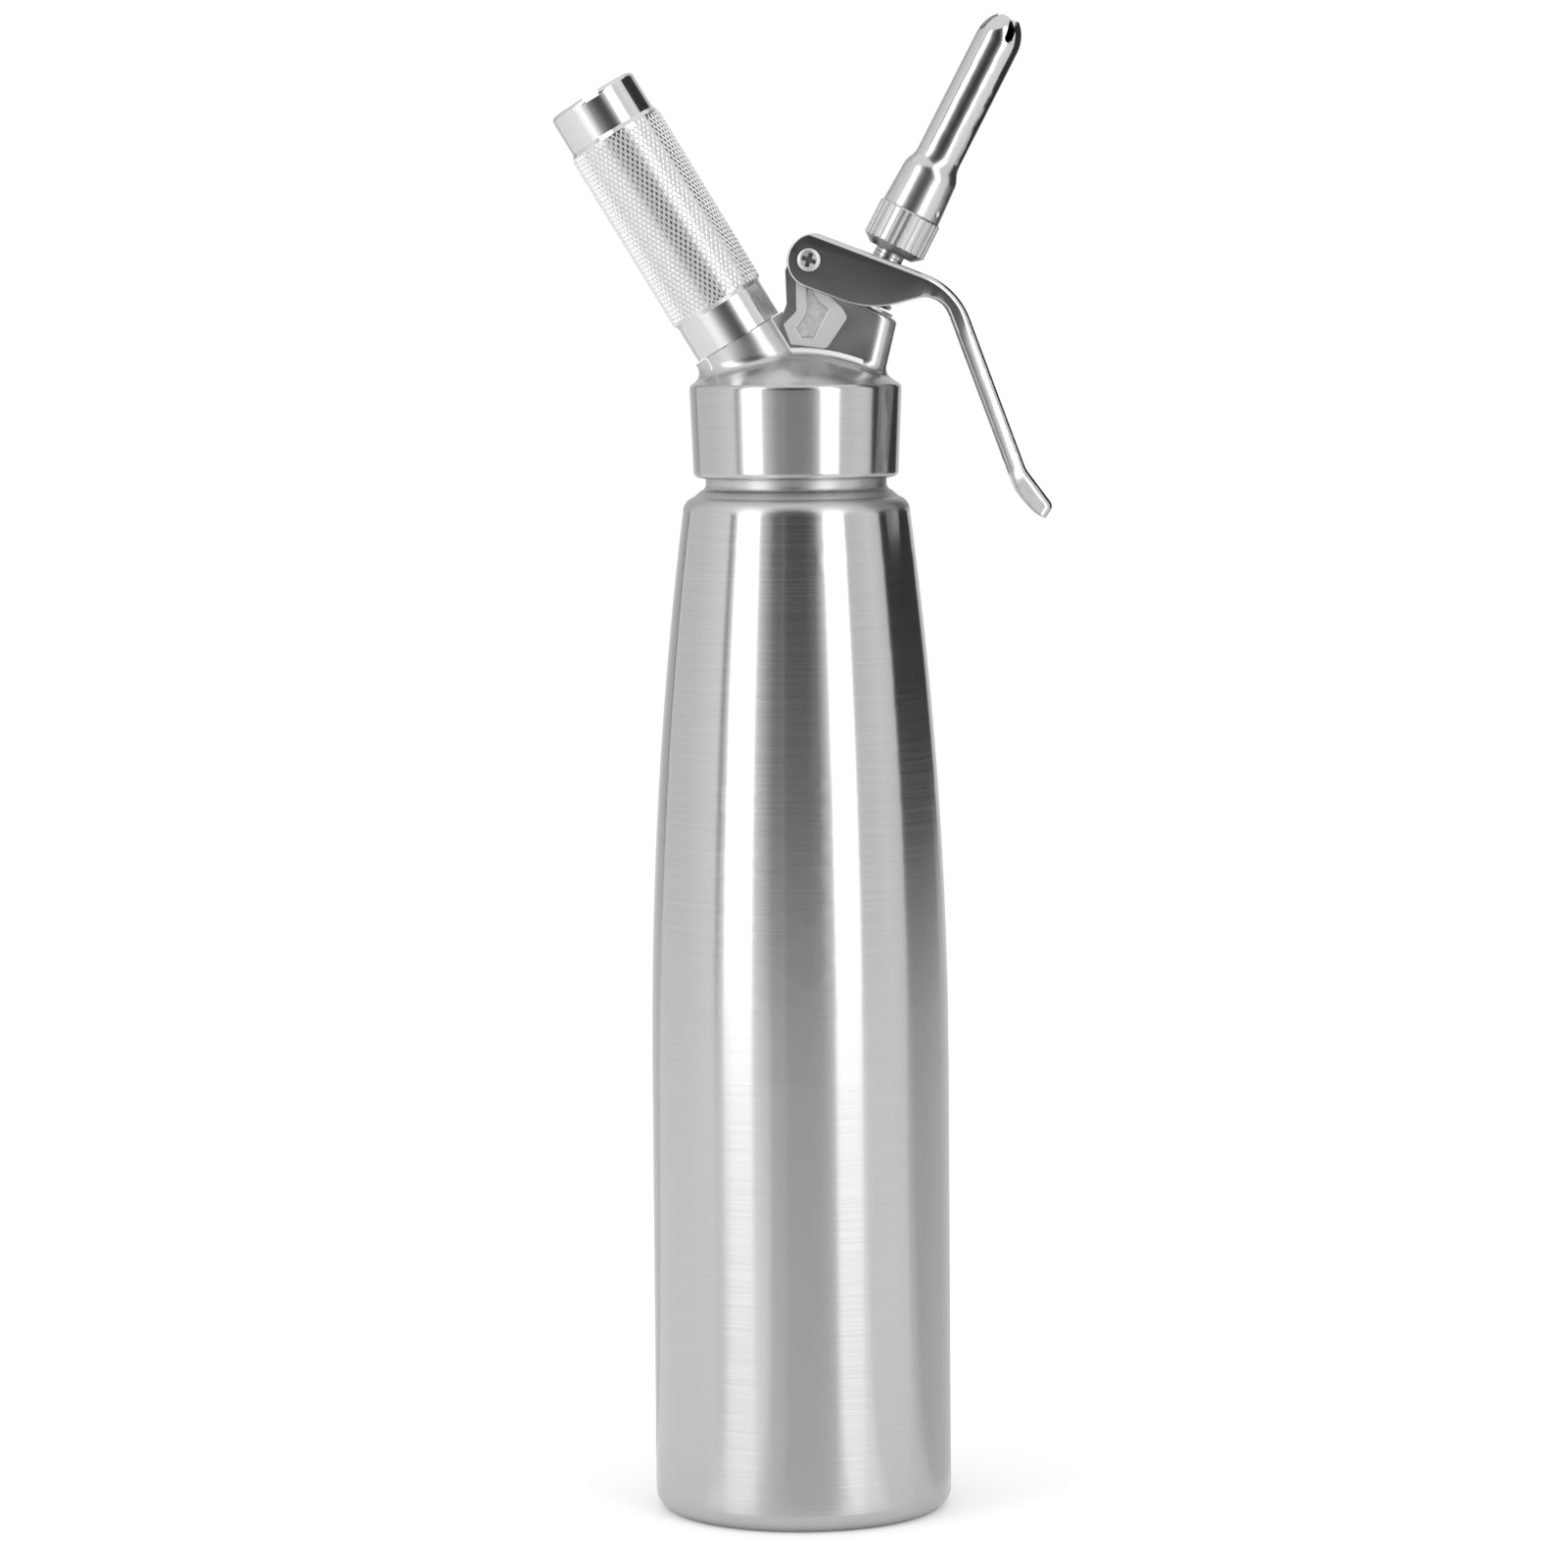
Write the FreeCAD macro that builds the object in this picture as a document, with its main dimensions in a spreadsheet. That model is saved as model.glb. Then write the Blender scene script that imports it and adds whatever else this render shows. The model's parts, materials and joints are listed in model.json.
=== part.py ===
"""A one-litre whipped cream dispenser: flask, head, squeeze lever, cream valve, nozzle and charger holder.

Frame: +Z up, origin at the centre of the flask's foot, +X towards the nozzle, -X towards the charger.
The cream valve and the gas charger lie on two axes that lean right and left of the flask's axis.
"""
import FreeCAD, Part
import os
import re
import Sketcher
from FreeCAD import Placement, Rotation, Vector

SIZES = {
    # flask
    "flask_radius": 40.0,
    "flask_wall": 1.0,
    "foot_corner_radius": 5.0,
    "foot_ring_inner_radius": 27.0,
    "foot_dome_rise": 4.0,
    "taper_start_height": 120.0,
    "shoulder_height": 270.0,
    "shoulder_step": 6.2,
    "shoulder_corner_radius": 4.2,
    "shoulder_corner_run": 3.0,
    "shoulder_corner_rise": 3.6,
    "neck_radius": 24.2,
    "neck_wall": 2.0,
    "neck_cove_run": 1.4,
    "neck_cove_drop": 0.4,
    "neck_foot_rise": 5.6,
    "neck_height": 20.8,
    "mouth_round": 0.6,
    # head: cap skirt and dome
    "cap_gap": 3.0,
    "cap_wall": 3.2,
    "cap_height": 24.6,
    "cap_flare": 1.0,
    "cap_bottom_round": 1.8,
    "cap_rim_round": 1.6,
    "dome_rise": 9.0,
    "thread_gap": 0.3,
    "gasket_thickness": 2.0,
    "gasket_width": 3.4,
    "seat_gap": 0.1,
    "cavity_radius": 17.0,
    "cavity_depth": 2.8,
    # head: web with the lever's pivot and the valve boss
    "web_thickness": 17.6,
    "web_end_round": 5.5,
    "web_edge_round": 1.2,
    "web_blend_radius": 3.0,
    "pad_step": 0.6,
    "web_root": 2.0,
    "web_foot_left": -9.0,
    "web_shoulder_left": -3.3,
    "web_shoulder_drop": 14.6,
    "ear_left": -2.5,
    "ear_lean": 0.3,
    "ear_top_drop": 2.8,
    "ear_foot_drop": 11.6,
    "ear_step": 0.5,
    "ear_radius": 5.2,
    "recess_depth": 1.3,
    "field_slope": 30.0,
    "pad_corner_round": 1.5,
    # valve axis
    "valve_tilt": 27.4,
    "valve_axis_drop": 14.2,
    "valve_face_height": 40.1,
    "valve_boss_reach": 9.8,
    "web_end_foot": 22.7,
    "valve_chamber_radius": 7.2,
    "valve_seat_height": 22.0,
    "valve_passage_radius": 5.0,
    "gland_height": 27.0,
    "gland_radius": 6.0,
    "ring_thickness": 2.4,
    "stem_radius": 4.0,
    "stem_end_radius": 3.0,
    "stem_end_reach": 2.0,
    "stem_top_chamfer": 0.5,
    "stem_bore_radius": 2.4,
    "stem_fit": 0.05,
    "stem_port_radius": 1.4,
    "stem_port_height": 24.4,
    "valve_plate_radius": 6.4,
    "valve_plate_thickness": 2.6,
    "valve_gasket_thickness": 1.9,
    "spring_washer_radius": 8.2,
    "spring_washer_thickness": 0.8,
    "spring_radius": 6.6,
    "spring_wire_radius": 0.5,
    "spring_turns": 2.25,
    "spring_room": 7.8,
    "collar_radius": 7.6,
    "collar_height": 3.55,
    "collar_dome_radius": 22.0,
    # nozzle
    "nut_gap": 4.3,
    "nut_height": 11.8,
    "stem_engagement": 9.25,
    "nut_radius": 8.75,
    "nut_chamfer": 2.0,
    "nut_foot_inset": 2.6,
    "nut_top_chamfer": 0.45,
    "flute_count": 30,
    "flute_radius": 0.5,
    "flute_depth": 0.22,
    "nozzle_gasket_thickness": 1.2,
    "nozzle_stud_radius": 6.4,
    "nozzle_stud_height": 7.0,
    "nozzle_passage_radius": 2.6,
    "tip_base_radius": 8.15,
    "tip_base_narrowing": 0.5,
    "tip_base_height": 10.4,
    "tip_flare_height": 6.0,
    "tip_tube_radius": 6.15,
    "tip_wall": 1.0,
    "tip_length": 57.6,
    "tip_round_height": 7.4,
    "tip_mouth_radius": 3.0,
    "tip_slot_width": 2.3,
    "tip_slot_depth": 5.2,
    "tip_slot_turn": -68.0,
    "dimple_radius": 1.5,
    "dimple_depth": 0.55,
    "dimple_height": 2.6,
    "dimple_turn": 37.0,
    # lever, in its own frame: X along the plate, Z square to it, origin at the pivot
    "pivot_x": 3.74,
    "lever_slope": 21.0,
    "lever_gap": 0.3,
    "cheek_gap": 0.4,
    "lever_tip_width": 17.0,
    "lever_sheet": 2.0,
    "lever_top": 7.4,
    "lever_bottom": -7.05,
    "lever_end_centre": 1.5,
    "lever_end_swell": 0.15,
    "lever_belly_x": 19.8,
    "lever_belly_round": 24.0,
    "lever_crotch_round": 7.0,
    "lever_bend_x": 39.46,
    "lever_bend_round": 20.0,
    "handle_end_x": 73.62,
    "handle_end_z": -31.55,
    "handle_thickness": 4.4,
    "tip_flare_x": 10.45,
    "tip_flare_z": -6.6,
    "spoon_knee_x": 73.71,
    "spoon_knee_z": -38.33,
    "spoon_belly_x": 79.96,
    "spoon_belly_z": -41.8,
    "spoon_end_x": 83.16,
    "spoon_end_z": -42.0,
    "spoon_round": 8.0,
    "outer_knee_round": 8.0,
    "inner_knee_round": 12.0,
    "lever_lip_round": 2.2,
    "lever_edge_round": 1.9,
    "lever_rim_round": 0.5,
    "lever_taper_x": 28.5,
    "lever_slot_width": 9.4,
    "lever_slot_length": 14.0,
    "lever_slot_centre": 17.3,
    "pivot_head_radius": 3.3,
    "pivot_head_proud": 0.3,
    "pivot_head_edge": 0.5,
    "pivot_head_crown": 0.4,
    "pivot_barrel_radius": 2.5,
    "pivot_screw_radius": 1.5,
    "pivot_screw_depth": 11.0,
    "pivot_fit": 0.08,
    # bores through the head
    "bore_start": 6.0,
    "cut_margin": 1.0,
    # charger axis
    "charger_tilt": 31.0,
    "charger_axis_drop": 12.2,
    "boss_radius": 13.6,
    "boss_root": 8.0,
    "boss_height": 29.0,
    "stud_step": 1.1,
    "stud_height": 10.0,
    "socket_radius": 5.2,
    "socket_floor": 33.2,
    "inlet_seal_thickness": 2.0,
    "inlet_seal_radius": 5.0,
    "pin_base_radius": 3.0,
    "pin_base_height": 4.0,
    "pin_radius": 0.9,
    "pin_bore_radius": 0.4,
    "pin_cone_height": 0.6,
    "pin_reach": 4.6,
    "gas_channel_radius": 1.2,
    "check_bore_radius": 4.6,
    "check_bore_top": 17.0,
    "check_valve_height": 7.0,
    "check_lip_height": 3.0,
    "check_lip_radius": 1.4,
    "check_slit_radius": 0.3,
    # charger and its holder
    "charger_length": 65.5,
    "charger_radius": 9.1,
    "charger_wall": 1.3,
    "charger_neck_radius": 4.35,
    "charger_neck_length": 7.0,
    "charger_shoulder_length": 9.0,
    "charger_gap": 0.3,
    "holder_length": 75.2,
    "holder_wall_end": 3.4,
    "holder_bore_gap": 0.35,
    "holder_wall": 2.05,
    "holder_band_length": 10.0,
    "holder_grip_step": 0.45,
    "holder_grip_length": 51.8,
    "holder_grip_chamfer": 1.2,
    "holder_end_step": 0.15,
    "holder_end_round": 1.3,
    "holder_slot_width": 4.0,
    "holder_slot_depth": 1.6,
    "holder_slot_flare": 0.8,
}

# Corners of the panel under the lever and of its sunk field, from the pivot: to the right and up.
PANEL_CORNERS = {
    "neck_left": (-3.4, -13.5),
    "heel_left": (-6.8, -17.0),
    "foot_left": (-4.9, -22.2),
    "foot_right": (4.6, -23.4),
    "elbow_right": (10.2, -15.2),
    "shoulder_right": (8.6, -12.6),
    "neck_right": (5.2, -9.4),
}
FIELD_CORNERS = {
    "top_left": (-1.1, -6.2),
    "neck_left": (-0.9, -12.0),
    "waist_left": (-1.6, -14.8),
    "heel_left": (-4.0, -18.0),
    "foot_left": (-2.3, -20.9),
    "foot_right": (1.6, -20.9),
    "elbow_right": (5.6, -12.9),
    "waist_right": (3.1, -11.0),
    "neck_right": (1.4, -8.2),
    "top_right": (1.3, -6.2),
}
for piece, corners in (("panel", PANEL_CORNERS), ("field", FIELD_CORNERS)):
    for corner, (across, up) in corners.items():
        SIZES[f"{piece}_{corner}_x"] = across
        SIZES[f"{piece}_{corner}_z"] = up

# Sizes that follow from those above, so that what sits on a piece keeps its seat.
SEATED_SIZES = {
    "shoulder_radius": "neck_radius + shoulder_step",
    "neck_foot_height": "shoulder_height + neck_foot_rise",
    "mouth_height": "neck_foot_height + neck_height",
    "cap_bottom_height": "neck_foot_height + cap_gap",
    "cap_bottom_radius": "neck_radius + cap_wall",
    "cap_rim_height": "cap_bottom_height + cap_height",
    "cap_rim_radius": "cap_bottom_radius + cap_flare",
    "pad_thickness": "web_thickness + 2 * pad_step",
    "lever_width": "pad_thickness + 2 * (cheek_gap + lever_sheet)",
    "valve_axis_height": "cap_rim_height - valve_axis_drop",
    "collar_foot_height": "valve_face_height + spring_room",
    "collar_top_height": "collar_foot_height + collar_height",
    "nut_foot_height": "collar_top_height + nut_gap",
    "stem_top_height": "nut_foot_height + stem_engagement",
    "tip_top_height": "nut_foot_height + nut_height + tip_length",
    "charger_axis_height": "cap_rim_height - charger_axis_drop",
    "stud_radius": "charger_radius + stud_step",
    "holder_band_radius": "stud_radius + thread_gap + holder_wall",
    "holder_grip_radius": "holder_band_radius + holder_grip_step",
    "holder_end_radius": "holder_band_radius - holder_end_step",
    "slot_side_radius": "(collar_dome_radius^2 - (lever_slot_width / 2)^2)^0.5",
    "collar_crest_x": "(collar_top_height - collar_dome_radius) * sin(valve_tilt)"
                      " + slot_side_radius * sin(lever_slope)",
    "collar_crest_z": "valve_axis_height + (collar_top_height - collar_dome_radius) * cos(valve_tilt)"
                      " + slot_side_radius * cos(lever_slope)",
    "pivot_height": "collar_crest_z + ((collar_crest_x - pivot_x) * sin(lever_slope)"
                    " - (lever_top - lever_sheet - lever_gap)) / cos(lever_slope)",
}

doc = FreeCAD.newDocument("WhippedCreamDispenser")
sheet = doc.addObject("Spreadsheet::Sheet", "Sizes")
CELLS = {alias: str(size) for alias, size in SIZES.items()}
CELLS.update({alias: f"={formula}" for alias, formula in SEATED_SIZES.items()})
for row, (alias, text) in enumerate(CELLS.items(), start=1):
    sheet.set(f"A{row}", alias)
    sheet.setAlias(f"B{row}", alias)
    sheet.set(f"B{row}", text)
    doc.recompute()

SUB_PARTS = []


# ---------------------------------------------------------------- expressions

def bound(expression):
    """The expression with each size's name pointing at its cell."""
    def cell(word):
        return f"Sizes.{word[0]}" if word[0] in CELLS else word[0]

    return re.sub(r"[a-z_]+", cell, str(expression))


def value(expression):
    """What the expression comes to, in millimetres or degrees."""
    result = sheet.evalExpression(bound(expression))
    return float(getattr(result, "Value", result))


def bind(feature, **expressions):
    """Ties properties of a feature to the sheet; a double underscore stands for a dot."""
    for path, expression in expressions.items():
        feature.setExpression(path.replace("__", "."), bound(expression))


def on_valve_axis(along, across):
    """The front-view place of a point on the valve's tilted axes, as two expressions."""
    x = f"({along}) * sin(valve_tilt) + ({across}) * cos(valve_tilt)"
    z = f"valve_axis_height + ({along}) * cos(valve_tilt) - ({across}) * sin(valve_tilt)"
    return x, z


# ---------------------------------------------------------------- features

def new_body(label, height=None, tilt=None, side=1, x=None):
    """A body whose Z axis starts at a height on the flask's axis and leans by tilt, rightwards for side 1."""
    body = doc.addObject("PartDesign::Body", label)
    body.Label = label
    if tilt:
        body.Placement = Placement(Vector(0, 0, 0), Rotation(Vector(0, side, 0), value(tilt)))
        bind(body, Placement__Rotation__Angle=tilt)
    if height:
        bind(body, Placement__Base__z=height)
    if x:
        bind(body, Placement__Base__x=x)
    return body


VALVE_AXIS = ("valve_axis_height", "valve_tilt", 1)
CHARGER_AXIS = ("charger_axis_height", "charger_tilt", -1)


def origin_plane(body, role):
    return next(item for item in body.Origin.OriginFeatures if item.Role == role)


def new_sketch(body, plane, name):
    sketch = body.newObject("Sketcher::SketchObject", name)
    sketch.AttachmentSupport = (origin_plane(body, plane), [""])
    sketch.MapMode = "FlatFace"
    return sketch


def arc_through(start, end, radius, side):
    """An arc shorter than half a turn; side 1 has its centre on the left of the way from start to end."""
    chord = end - start
    reach = max(radius**2 - chord.Length**2 / 4, 0.0) ** 0.5
    left = Vector(-chord.y, chord.x, 0).normalize()
    centre = (start + end) / 2 + left * reach * side
    first, last = (start, end) if side > 0 else (end, start)
    axis = Vector(0, 0, 1)
    angles = [Vector(1, 0, 0).getAngle(point - centre) for point in (first, last)]
    angles = [-angle if (point - centre).y < 0 else angle for angle, point in zip(angles, (first, last))]
    return Part.ArcOfCircle(Part.Circle(centre, axis, radius), angles[0], angles[1])


def add_outline(sketch, corners, arcs=None):
    """A closed outline of bound corners; arcs maps an edge's number to its radius and its centre's side."""
    arcs = arcs or {}
    points = [Vector(value(x), value(y), 0) for x, y in corners]
    count = len(points)
    starts = []
    ends = []
    for number in range(count):
        start = points[number]
        end = points[(number + 1) % count]
        if number in arcs:
            radius, side = arcs[number]
            edge = sketch.addGeometry(arc_through(start, end, value(radius), side), False)
            starts.append((edge, 1 if side > 0 else 2))
            ends.append((edge, 2 if side > 0 else 1))
        else:
            edge = sketch.addGeometry(Part.LineSegment(start, end), False)
            starts.append((edge, 1))
            ends.append((edge, 2))
    for number in range(count):
        sketch.addConstraint(Sketcher.Constraint("Coincident", *ends[number - 1], *starts[number]))
    for number, (x, y) in enumerate(corners):
        place_x, place_y, _ = points[number]
        for kind, text, axis, size in (("DistanceX", x, -2, place_x), ("DistanceY", y, -1, place_y)):
            if text == "0":
                sketch.addConstraint(Sketcher.Constraint("PointOnObject", *starts[number], axis))
            else:
                place = sketch.addConstraint(Sketcher.Constraint(kind, -1, 1, *starts[number], size))
                sketch.setExpression(f"Constraints[{place}]", bound(text))
    for number, (radius, _) in arcs.items():
        place = sketch.addConstraint(Sketcher.Constraint("Radius", starts[number][0], value(radius)))
        sketch.setExpression(f"Constraints[{place}]", bound(radius))


def add_circle(sketch, x, y, radius):
    """A bound circle; the centre is given as two expressions."""
    circle = Part.Circle(Vector(value(x), value(y), 0), Vector(0, 0, 1), value(radius))
    edge = sketch.addGeometry(circle, False)
    for kind, text, axis in (("DistanceX", x, -2), ("DistanceY", y, -1)):
        if text == "0":
            sketch.addConstraint(Sketcher.Constraint("PointOnObject", edge, 3, axis))
        else:
            place = sketch.addConstraint(Sketcher.Constraint(kind, -1, 1, edge, 3, value(text)))
            sketch.setExpression(f"Constraints[{place}]", bound(text))
    place = sketch.addConstraint(Sketcher.Constraint("Radius", edge, value(radius)))
    sketch.setExpression(f"Constraints[{place}]", bound(radius))


def turned(body, kind, name, corners, arcs=None):
    """A Revolution or Groove of an outline of radii and heights about the body's own Z axis."""
    sketch = new_sketch(body, "XZ_Plane", f"{name}_profile")
    add_outline(sketch, corners, arcs)
    feature = body.newObject(f"PartDesign::{kind}", name)
    feature.Profile = sketch
    feature.ReferenceAxis = (sketch, ["V_Axis"])
    feature.Angle = 360
    sketch.Visibility = False
    return feature


def extruded(body, kind, name, plane, length, corners=None, arcs=None, circle=None):
    """A Pad or Pocket of an outline or a circle, the same length to both sides of its plane."""
    sketch = new_sketch(body, plane, f"{name}_outline")
    if circle:
        add_circle(sketch, *circle)
    else:
        add_outline(sketch, corners, arcs)
    feature = body.newObject(f"PartDesign::{kind}", name)
    feature.Profile = sketch
    feature.SideType = "Symmetric"
    bind(feature, Length=length)
    return feature


def round_along(body, kind, name, axis, radius, start, end):
    """A round Pad or Pocket from start to end along one of the head's two leaning axes."""
    height, tilt, side = axis
    sketch = new_sketch(body, "XY_Plane", f"{name}_circle")
    sketch.AttachmentOffset = Placement(Vector(0, 0, 0), Rotation(Vector(0, side, 0), value(tilt)))
    bind(
        sketch,
        AttachmentOffset__Rotation__Angle=tilt,
        AttachmentOffset__Base__x=f"{side} * ({start}) * sin({tilt})",
        AttachmentOffset__Base__z=f"{height} + ({start}) * cos({tilt})",
    )
    add_circle(sketch, "0", "0", radius)
    feature = body.newObject(f"PartDesign::{kind}", name)
    feature.Profile = sketch
    feature.Reversed = kind == "Pocket"
    bind(feature, Length=f"({end}) - ({start})")
    return feature


def edge_names(shape, test):
    return [f"Edge{number}" for number, edge in enumerate(shape.Edges, start=1) if test(edge)]


def rounded(body, kind, name, size, test):
    """A Fillet or Chamfer of the edges of the body so far that pass the test."""
    doc.recompute()
    base = body.Tip
    names = edge_names(base.Shape, test)
    if not names:
        raise ValueError(f"{name} found no edges")
    feature = body.newObject(f"PartDesign::{kind}", name)
    feature.Base = (base, names)
    bind(feature, **{"Radius" if kind == "Fillet" else "Size": size})
    return feature


def keep(body):
    """Adds a finished body or shape to the sub-parts that are written out."""
    SUB_PARTS.append(body)
    return body


def near(measured, expected, tolerance=0.02):
    return abs(measured - expected) < tolerance


def ring_edge(height, radius):
    """A test for a full circle about the body's Z axis, at a height and with a radius."""
    level = value(height)
    size = value(radius)

    def test(edge):
        box = edge.BoundBox
        flat = near(box.ZMin, level) and near(box.ZMax, level)
        return flat and near(box.XMax, size) and near(box.XMin, -size)

    return test


# ---------------------------------------------------------------- flask

def arc_radius(run, rise):
    """The radius of an arc that leaves a wall tangentially and closes in by rise over a run."""
    return f"(({run})^2 + ({rise})^2) / (2 * ({rise}))"


def make_flask():
    body = new_body("flask")
    taper = arc_radius("shoulder_height - taper_start_height", "flask_radius - shoulder_radius")
    foot_dome = arc_radius("foot_ring_inner_radius", "foot_dome_rise")
    inner_dome = arc_radius("foot_ring_inner_radius - flask_wall", "foot_dome_rise")
    cove = arc_radius("neck_cove_run + neck_cove_drop", "neck_cove_run")
    corner_x = "shoulder_radius - shoulder_corner_run"
    corner_z = "shoulder_height + shoulder_corner_rise"
    foot_z = "neck_foot_height - neck_cove_drop"
    slant = "flask_wall * cos(45)"
    outside = [
        ("0", "foot_dome_rise"),
        ("foot_ring_inner_radius", "0"),
        ("flask_radius - foot_corner_radius", "0"),
        ("flask_radius", "foot_corner_radius"),
        ("flask_radius", "taper_start_height"),
        ("shoulder_radius", "shoulder_height"),
        (corner_x, corner_z),
        ("neck_radius + neck_cove_run", foot_z),
        ("neck_radius", "neck_foot_height + neck_cove_run"),
        ("neck_radius", "mouth_height"),
    ]
    inside = [
        ("neck_radius - neck_wall", "mouth_height"),
        ("neck_radius - neck_wall", "neck_foot_height"),
        ("neck_radius - neck_wall + neck_cove_run", f"{foot_z} - flask_wall"),
        (f"{corner_x} - {slant}", f"{corner_z} - {slant}"),
        ("shoulder_radius - flask_wall", "shoulder_height"),
        ("flask_radius - flask_wall", "taper_start_height"),
        ("flask_radius - flask_wall", "foot_corner_radius"),
        ("flask_radius - foot_corner_radius", "flask_wall"),
        ("foot_ring_inner_radius - flask_wall", "flask_wall"),
        ("0", "foot_dome_rise + flask_wall"),
    ]
    arcs = {
        0: (foot_dome, -1),
        2: ("foot_corner_radius", 1),
        4: (taper, 1),
        5: ("shoulder_corner_radius", 1),
        7: (cove, -1),
        13: ("shoulder_corner_radius - flask_wall", -1),
        14: (taper, -1),
        16: ("foot_corner_radius - flask_wall", -1),
        18: (inner_dome, 1),
    }
    turned(body, "Revolution", "flask_shell", outside + inside, arcs)
    rounded(body, "Fillet", "mouth_rounding", "mouth_round", ring_edge("mouth_height", "neck_radius"))
    return keep(body)


# ---------------------------------------------------------------- head

CEILING = "mouth_height + gasket_thickness + 2 * seat_gap"
STUD_TOP = "boss_height + stud_height"
PIN_FOOT = "socket_floor - pin_base_height"


def make_head_gasket():
    body = new_body("head_gasket")
    foot = "mouth_height + seat_gap"
    inner = "neck_radius - gasket_width"
    turned(body, "Revolution", "gasket_ring", [
        (inner, foot),
        ("neck_radius + thread_gap / 2", foot),
        ("neck_radius + thread_gap / 2", f"{foot} + gasket_thickness"),
        (inner, f"{foot} + gasket_thickness"),
    ])
    return keep(body)


def make_head():
    body = new_body("head_body")
    add_web(body)
    dome = arc_radius("cap_rim_radius", "dome_rise")
    turned(body, "Revolution", "cap", [
        ("0", "cap_bottom_height"),
        ("cap_bottom_radius", "cap_bottom_height"),
        ("cap_rim_radius", "cap_rim_height"),
        ("0", "cap_rim_height + dome_rise"),
    ], {2: (dome, 1)})
    round_along(body, "Pad", "charger_boss", CHARGER_AXIS, "boss_radius", "boss_root", "boss_height")
    soften_head(body)
    add_pad(body)
    round_along(body, "Pad", "charger_stud", CHARGER_AXIS, "stud_radius", "boss_height - web_root", STUD_TOP)
    bore_head(body)
    return keep(body)


def add_web(body):
    """The upright slab that carries the pivot ear on the left and the valve boss on the right."""
    face_left = on_valve_axis("valve_face_height", "-valve_boss_reach")
    face_right = on_valve_axis("valve_face_height", "valve_boss_reach")
    ear_right = "pivot_x + ear_radius"
    extruded(body, "Pad", "web", "XZ_Plane", "web_thickness", [
        ("web_foot_left", "cap_rim_height - web_root"),
        ("web_end_foot", "cap_rim_height - web_root"),
        face_right,
        face_left,
        (ear_right, f"{face_left[1]} + ear_step"),
        (ear_right, "pivot_height"),
        ("pivot_x", "pivot_height + ear_radius"),
        ("pivot_x - ear_radius", "pivot_height"),
        ("ear_left", "pivot_height - ear_top_drop"),
        ("ear_left + ear_lean", "pivot_height - ear_foot_drop"),
        ("web_shoulder_left", "pivot_height - web_shoulder_drop"),
    ], {5: ("ear_radius", 1), 6: ("ear_radius", 1)})
    face = [Vector(value(x), 0, value(z)) for x, z in (face_left, face_right)]

    def web_end(edge):
        box = edge.BoundBox
        return near(box.XMax, face[1].x) and near(box.ZMax, face[1].z) and box.YLength < 0.1

    def face_edge(edge):
        middle = edge.valueAt((edge.FirstParameter + edge.LastParameter) / 2)
        middle.y = 0
        return near(middle.distanceToLine(face[0], face[1] - face[0]), 0) and middle.x > face[0].x + 1

    rounded(body, "Fillet", "web_end_rounding", "web_end_round", web_end)
    rounded(body, "Fillet", "valve_face_rounding", "web_edge_round", face_edge)


def add_pad(body):
    """The thicker panel under the lever, on both faces, with its sunk field."""
    ear = [
        ("pivot_x + ear_radius", "pivot_height"),
        ("pivot_x", "pivot_height + ear_radius"),
        ("pivot_x - ear_radius", "pivot_height"),
        ("pivot_x + panel_neck_left_x", "pivot_height - ear_top_drop"),
    ]
    first = len(PANEL_CORNERS)
    extruded(
        body, "Pad", "web_panel", "XZ_Plane", "pad_thickness", from_pivot("panel", PANEL_CORNERS) + ear,
        {first: ("ear_radius", 1), first + 1: ("ear_radius", 1)},
    )
    soft_corners = from_pivot("panel", ("foot_right", "elbow_right", "shoulder_right"))
    places = [(value(x), value(z)) for x, z in soft_corners]
    face = value("pad_thickness / 2")
    for name, side in (("front_panel_corners", -1), ("rear_panel_corners", 1)):
        def panel_corner(edge):
            box = edge.BoundBox
            at_face = near(max(box.YMin * side, box.YMax * side), face) and box.YLength > 0.1
            return at_face and any(near(box.Center.x, x) and near(box.Center.z, z) for x, z in places)

        rounded(body, "Fillet", name, "pad_corner_round", panel_corner)
    for name, shift in (("front_field", -1), ("rear_field", 1)):
        sketch = new_sketch(body, "XZ_Plane", f"{name}_outline")
        bind(sketch, AttachmentOffset__Base__z=f"{shift} * (pad_thickness / 2)")
        add_outline(sketch, from_pivot("field", FIELD_CORNERS))
        pocket = body.newObject("PartDesign::Pocket", name)
        pocket.Profile = sketch
        pocket.Reversed = shift < 0
        bind(pocket, Length="recess_depth", TaperAngle="-1 * field_slope")


def from_pivot(piece, corners):
    """The places of named corners that are measured from the lever's pivot."""
    return [(f"pivot_x + {piece}_{corner}_x", f"pivot_height + {piece}_{corner}_z") for corner in corners]


def on_dome(edge):
    """Whether an edge lies on the dome's sphere, away from its rim."""
    radius = value(arc_radius("cap_rim_radius", "dome_rise"))
    centre = Vector(0, 0, value("cap_rim_height + dome_rise") - radius)
    places = [edge.valueAt(edge.FirstParameter + share * (edge.LastParameter - edge.FirstParameter))
              for share in (0.1, 0.35, 0.6, 0.9)]
    above_rim = min(point.z for point in places) > value("cap_rim_height") + 0.3
    return above_rim and all(near((point - centre).Length, radius, 0.05) for point in places)


def soften_head(body):
    """The cast blends where web and charger boss grow out of the dome, and the cap's turned rounds."""
    rounded(body, "Fillet", "web_blend", "web_blend_radius", on_dome)
    for ring in ("cap_bottom", "cap_rim"):
        edge = ring_edge(f"{ring}_height", f"{ring}_radius")
        rounded(body, "Fillet", f"{ring}_rounding", f"{ring}_round", edge)


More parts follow.
